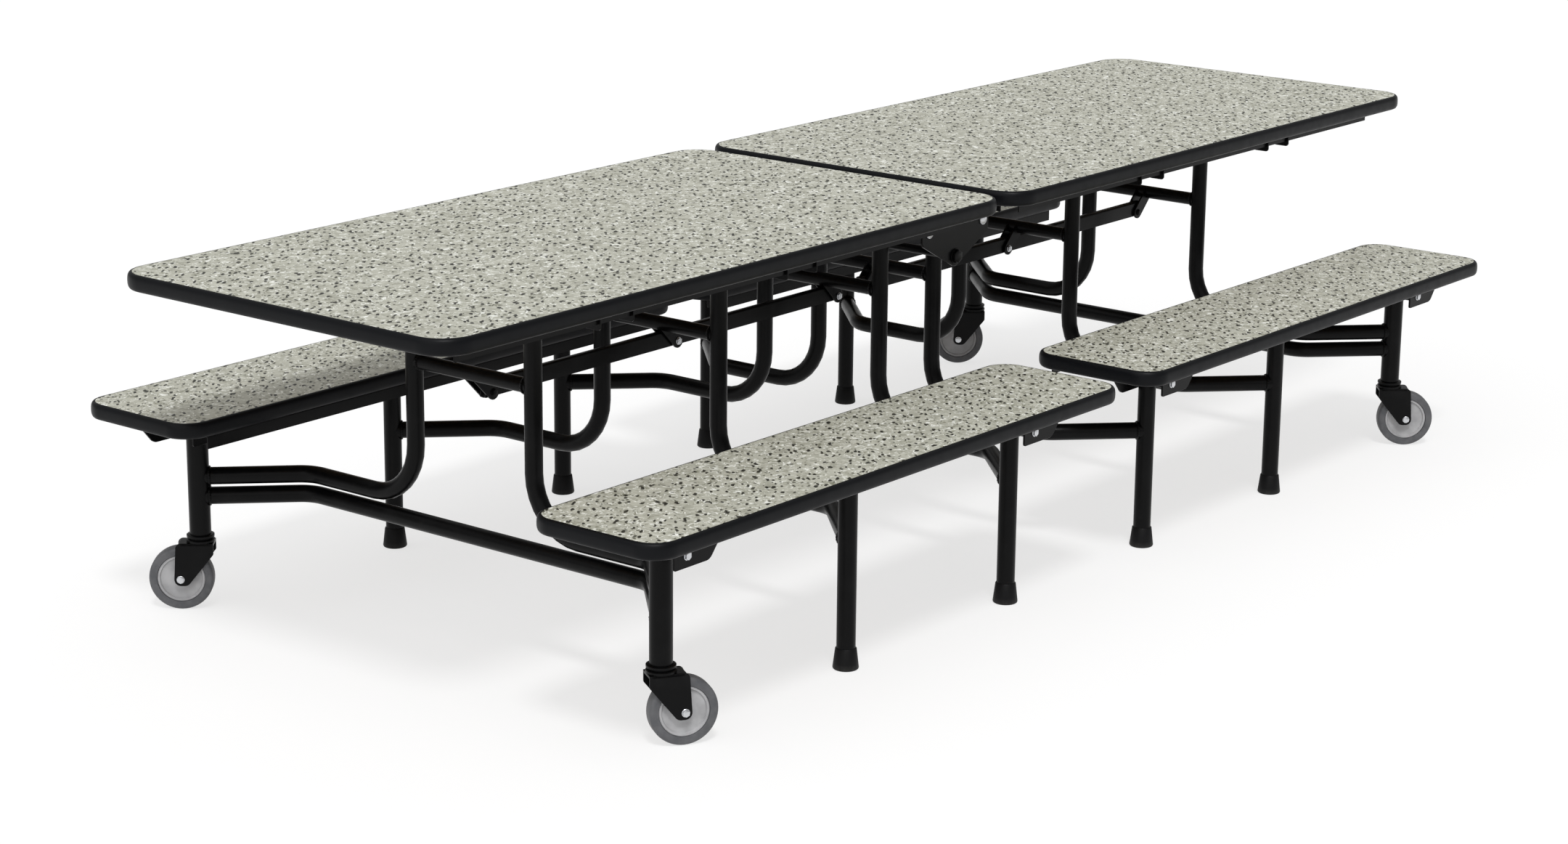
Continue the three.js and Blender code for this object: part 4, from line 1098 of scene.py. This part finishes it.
tie_low, tie_high = (np.array(point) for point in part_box("centre_tie_rod"))
tie_height = (tie_low[2] + tie_high[2]) / 2
for row, row_side in ROWS:
    node = f"centre_plate_{row}"
    low, high = (np.array(point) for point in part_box(node))
    near = min(abs(low[1]), abs(high[1]))
    width, top = high[0], high[2]
    corners = [(-width, top), (-width, top - PLATE_SHOULDER_DROP), (0, top - PLATE_POINT_DROP),
               (width, top - PLATE_SHOULDER_DROP), (width, top)]
    outline = rounded_run(corners, PLATE_ROUNDS)
    plate = solid(outline, PLATE_THICKNESS, PLATE_BEVEL, (0, row_side * near, 0), (X, Z, row_side * Y))
    far = near + PLATE_THICKNESS + PLATE_LIP
    lip_outline = rounded_run(rectangle(-width, width, near, far), [0, 0, PLATE_LIP_CORNER, PLATE_LIP_CORNER])
    lip_at = (0, 0, top - PLATE_LIP_THICKNESS)
    lip = solid(lip_outline, PLATE_LIP_THICKNESS, PLATE_LIP_BEVEL, lip_at, (X, row_side * Y, Z))
    piece(f"gusset_{row}", [plate, lip], COAT, "centre", [node])

reach = tie_high[1] - TIE_NUT_HEIGHT
shaft = [round_bar(TIE_ROD_RADIUS, -reach, reach, (0, 0, tie_height), Y)]
for face in (-1, 1):
    shaft += bolt_head((0, face * reach, tie_height), face * Y, TIE_NUT_RADIUS, TIE_NUT_HEIGHT)
piece("gusset_rod", shaft, COAT, "centre", ["centre_tie_rod"])
print("centre plates and tie rod")

# %% [markdown]
# ## Casters
# Each caster is drawn in its own small frame: along the trail from the swivel to the axle, across it, and up.
# The yoke is two plates that narrow to the axle, a web over the wheel and a collar of two discs under the
# post. The wheel is two spun profiles, the tread and the disc inside it.

# %% Casters
YOKE_PLATE = 0.003
YOKE_BACK = 0.024
YOKE_FRONT = 0.042
YOKE_FRONT_ROUND = 0.009
YOKE_BACK_DEPTH = 0.020
YOKE_BOSS_RADIUS = 0.012
YOKE_BOSS_BACK = 1.05 * YOKE_BOSS_RADIUS
YOKE_ROUNDS = (0, 0.006, 0.012, 0.0115, YOKE_FRONT_ROUND)
YOKE_BEVEL = 0.0006
YOKE_INSIDE = 0.0165
YOKE_WEB = 0.005
YOKE_WEB_CORNER = 0.004
YOKE_WEB_BEVEL = 0.0008
COLLAR_RADIUS = 0.025
COLLAR_HEIGHT = 0.014
COLLAR_SIDES = 48
# Depth below the collar's radius and height over its base, from the lower disc to the upper one
COLLAR_PROFILE = (
    (0.001, 0), (0, 0.001), (0, 0.0045), (0.002, 0.006), (0.0045, 0.0065),
    (0.0045, 0.008), (0.0015, 0.0085), (0.0005, 0.0095), (0.0005, 0.013), (0.002, COLLAR_HEIGHT),
)
AXLE_RADIUS = 0.005
AXLE_HEAD_RADIUS = 0.0062
AXLE_HEAD_HEIGHT = 0.005
TREAD_HALF = 0.014
TREAD_ROUND = 0.006
TREAD_ROUND_POINTS = 7
TREAD_TO_DISC = 0.0001
TREAD_LIP_DEPTH = 0.001
TREAD_LIP_START = 0.0005
TREAD_LIP_END = 0.002
DISC_RADIUS = 0.042
# Radius and half width of the disc: its rim, its sunk web, its boss and the axle hole
DISC_PROFILE = (
    (DISC_RADIUS, 0), (DISC_RADIUS, 0.011), (0.041, 0.012), (0.038, 0.012), (0.036, 0.009),
    (0.021, 0.0075), (0.014, 0.010), (0.012, 0.0155), (0.0054, 0.0155),
)
WHEEL_SIDES = 64


def yoke(at, trail, across, wheel_radius, distance):
    """Plates, web and collar of a caster, with the swivel at the origin of its small frame."""
    base = caster_top - COLLAR_HEIGHT
    corners = [(-YOKE_BACK, base), (-YOKE_BACK, base - YOKE_BACK_DEPTH),
               (distance - YOKE_BOSS_BACK, wheel_radius - YOKE_BOSS_RADIUS),
               (distance + YOKE_BOSS_RADIUS, wheel_radius - YOKE_BOSS_RADIUS), (YOKE_FRONT, base)]
    outline = rounded_run(corners, YOKE_ROUNDS)
    skins = []
    for face in (-1, 1):
        plate_at = at + face * YOKE_INSIDE * across
        skins.append(solid(outline, YOKE_PLATE, YOKE_BEVEL, plate_at, (trail, Z, face * across)))
    wide = YOKE_INSIDE + YOKE_PLATE
    web_front = YOKE_FRONT - YOKE_FRONT_ROUND / 2
    web = rounded_run(rectangle(-YOKE_BACK, web_front, -wide, wide), [YOKE_WEB_CORNER] * 4)
    skins.append(solid(web, YOKE_WEB, YOKE_WEB_BEVEL, at + Z * (base - YOKE_WEB), (trail, across, Z)))
    collar = [(COLLAR_RADIUS - depth, base + height) for depth, height in COLLAR_PROFILE]
    skins.append(spun(collar, at, Z, COLLAR_SIDES))
    return skins


def tread_profile(wheel_radius):
    """A closed section: across the face of the tread, round its two shoulders and back along its seat."""
    angle = np.linspace(0, np.pi / 2, TREAD_ROUND_POINTS)
    shoulder = wheel_radius - TREAD_ROUND
    edge = TREAD_HALF - TREAD_ROUND
    far = np.column_stack([shoulder + TREAD_ROUND * np.cos(angle), edge + TREAD_ROUND * np.sin(angle)])
    seat = DISC_RADIUS + TREAD_TO_DISC
    lip = [(seat + TREAD_LIP_DEPTH, TREAD_HALF - TREAD_LIP_START), (seat, TREAD_HALF - TREAD_LIP_END)]
    half = np.concatenate([far, lip])
    return np.concatenate([half, half[::-1] * (1, -1)])


def disc_profile():
    """A closed section: raised rim, sunk web and boss, the same on both faces, round the axle hole."""
    half = np.array(DISC_PROFILE)
    return np.concatenate([half[1:][::-1] * (1, -1), half])


def caster(half, row):
    place = f"{half}_{row}"
    swivel, wheel = joint_at[f"swivel_{place}"], joint_at[f"roll_{place}"]
    at = swivel * (1, 1, 0)
    trail = unit((wheel - swivel) * (1, 1, 0))
    across = np.cross(Z, trail)
    wheel_radius = wheel[2]
    distance = np.linalg.norm((wheel - at) * (1, 1, 0))
    skins = yoke(at, trail, across, wheel_radius, distance)
    piece(f"yoke_{place}", skins, COAT, f"caster_{place}", [f"fork_{place}"])
    wide = YOKE_INSIDE + YOKE_PLATE
    axle = [round_bar(AXLE_RADIUS, -wide, wide, wheel, across)]
    for face in (-1, 1):
        axle += bolt_head(wheel + face * wide * across, face * across, AXLE_HEAD_RADIUS, AXLE_HEAD_HEIGHT)
    piece(f"axle_{place}", axle, ZINC, f"caster_{place}")
    tread = spun(tread_profile(wheel_radius), wheel, across, WHEEL_SIDES, loop=True)
    piece(f"tread_{place}", [tread], TREAD, f"wheel_{place}", [f"tyre_{place}"])
    disc = spun(disc_profile(), wheel, across, WHEEL_SIDES, loop=True)
    piece(f"disc_{place}", [disc], DISC, f"wheel_{place}", [f"hub_{place}"])


for half, _ in HALVES:
    for row, _ in ROWS:
        caster(half, row)
print("four casters")

# %% [markdown]
# ## Floor and light
# The table stands on a plain white floor under a soft light from above and from the camera's side, as in a
# studio. The shadows show where the light is: each one lies 0.45 m to the right and 0.45 m to the rear for
# every metre of height. A sun lamp with a wide angle gives those shadows soft edges. A second one, very wide
# and from the left end, and the white world fill them. For what the camera and reflections see, part of the
# floor glows, so that shadows stay pale.

# %% Stage
FLOOR_HALF = 40.0
FLOOR_COLOUR = (0.97, 0.97, 0.97, 1)
FLOOR_GLOW_SHARE = 0.69
WORLD_STRENGTH = 0.42

# Strength, apparent width in degrees and tilt in degrees of each lamp
LAMPS = {
    "key_sun": (1.5, 11, (22.3, -24.2, 0)),
    "fill_sun": (1.2, 90, (8, -42, 0)),
}

floor_mesh = bpy.data.meshes.new("floor")
floor_corners = [(-FLOOR_HALF, -FLOOR_HALF, 0), (FLOOR_HALF, -FLOOR_HALF, 0),
                 (FLOOR_HALF, FLOOR_HALF, 0), (-FLOOR_HALF, FLOOR_HALF, 0)]
floor_mesh.from_pydata(floor_corners, [], [(0, 1, 2, 3)])
floor = bpy.data.objects.new("floor", floor_mesh)
bpy.context.scene.collection.objects.link(floor)

floor_finish = bpy.data.materials.new("white_floor")
floor_finish.use_nodes = True
tree = floor_finish.node_tree
tree.nodes.clear()
rays = add(tree, "ShaderNodeLightPath")
seen = add(tree, "ShaderNodeMath", {0: rays.outputs["Is Camera Ray"], 1: rays.outputs["Is Glossy Ray"]},
           operation="MAXIMUM").outputs[0]
seen = add(tree, "ShaderNodeMath", {0: seen, 1: rays.outputs["Is Transmission Ray"]},
           operation="MAXIMUM").outputs[0]
matt = add(tree, "ShaderNodeBsdfDiffuse", {"Color": FLOOR_COLOUR}).outputs[0]
glow = add(tree, "ShaderNodeEmission", {"Strength": 1.0}).outputs[0]
glowing = times(tree, seen, FLOOR_GLOW_SHARE)
mixed = add(tree, "ShaderNodeMixShader", {0: glowing, 1: matt, 2: glow}).outputs[0]
add(tree, "ShaderNodeOutputMaterial", {"Surface": mixed})
floor_mesh.materials.append(floor_finish)

for name, (strength, width, tilt) in LAMPS.items():
    lamp_data = bpy.data.lights.new(name, "SUN")
    lamp_data.energy = strength
    lamp_data.angle = np.radians(width)
    lamp = bpy.data.objects.new(name, lamp_data)
    lamp.rotation_euler = np.radians(tilt)
    bpy.context.scene.collection.objects.link(lamp)

world = bpy.data.worlds.new("studio")
world.use_nodes = True
world.node_tree.nodes["Background"].inputs["Color"].default_value = (1, 1, 1, 1)
world.node_tree.nodes["Background"].inputs["Strength"].default_value = WORLD_STRENGTH
bpy.context.scene.world = world
bpy.context.scene.view_settings.view_transform = "Standard"
print("stage set")
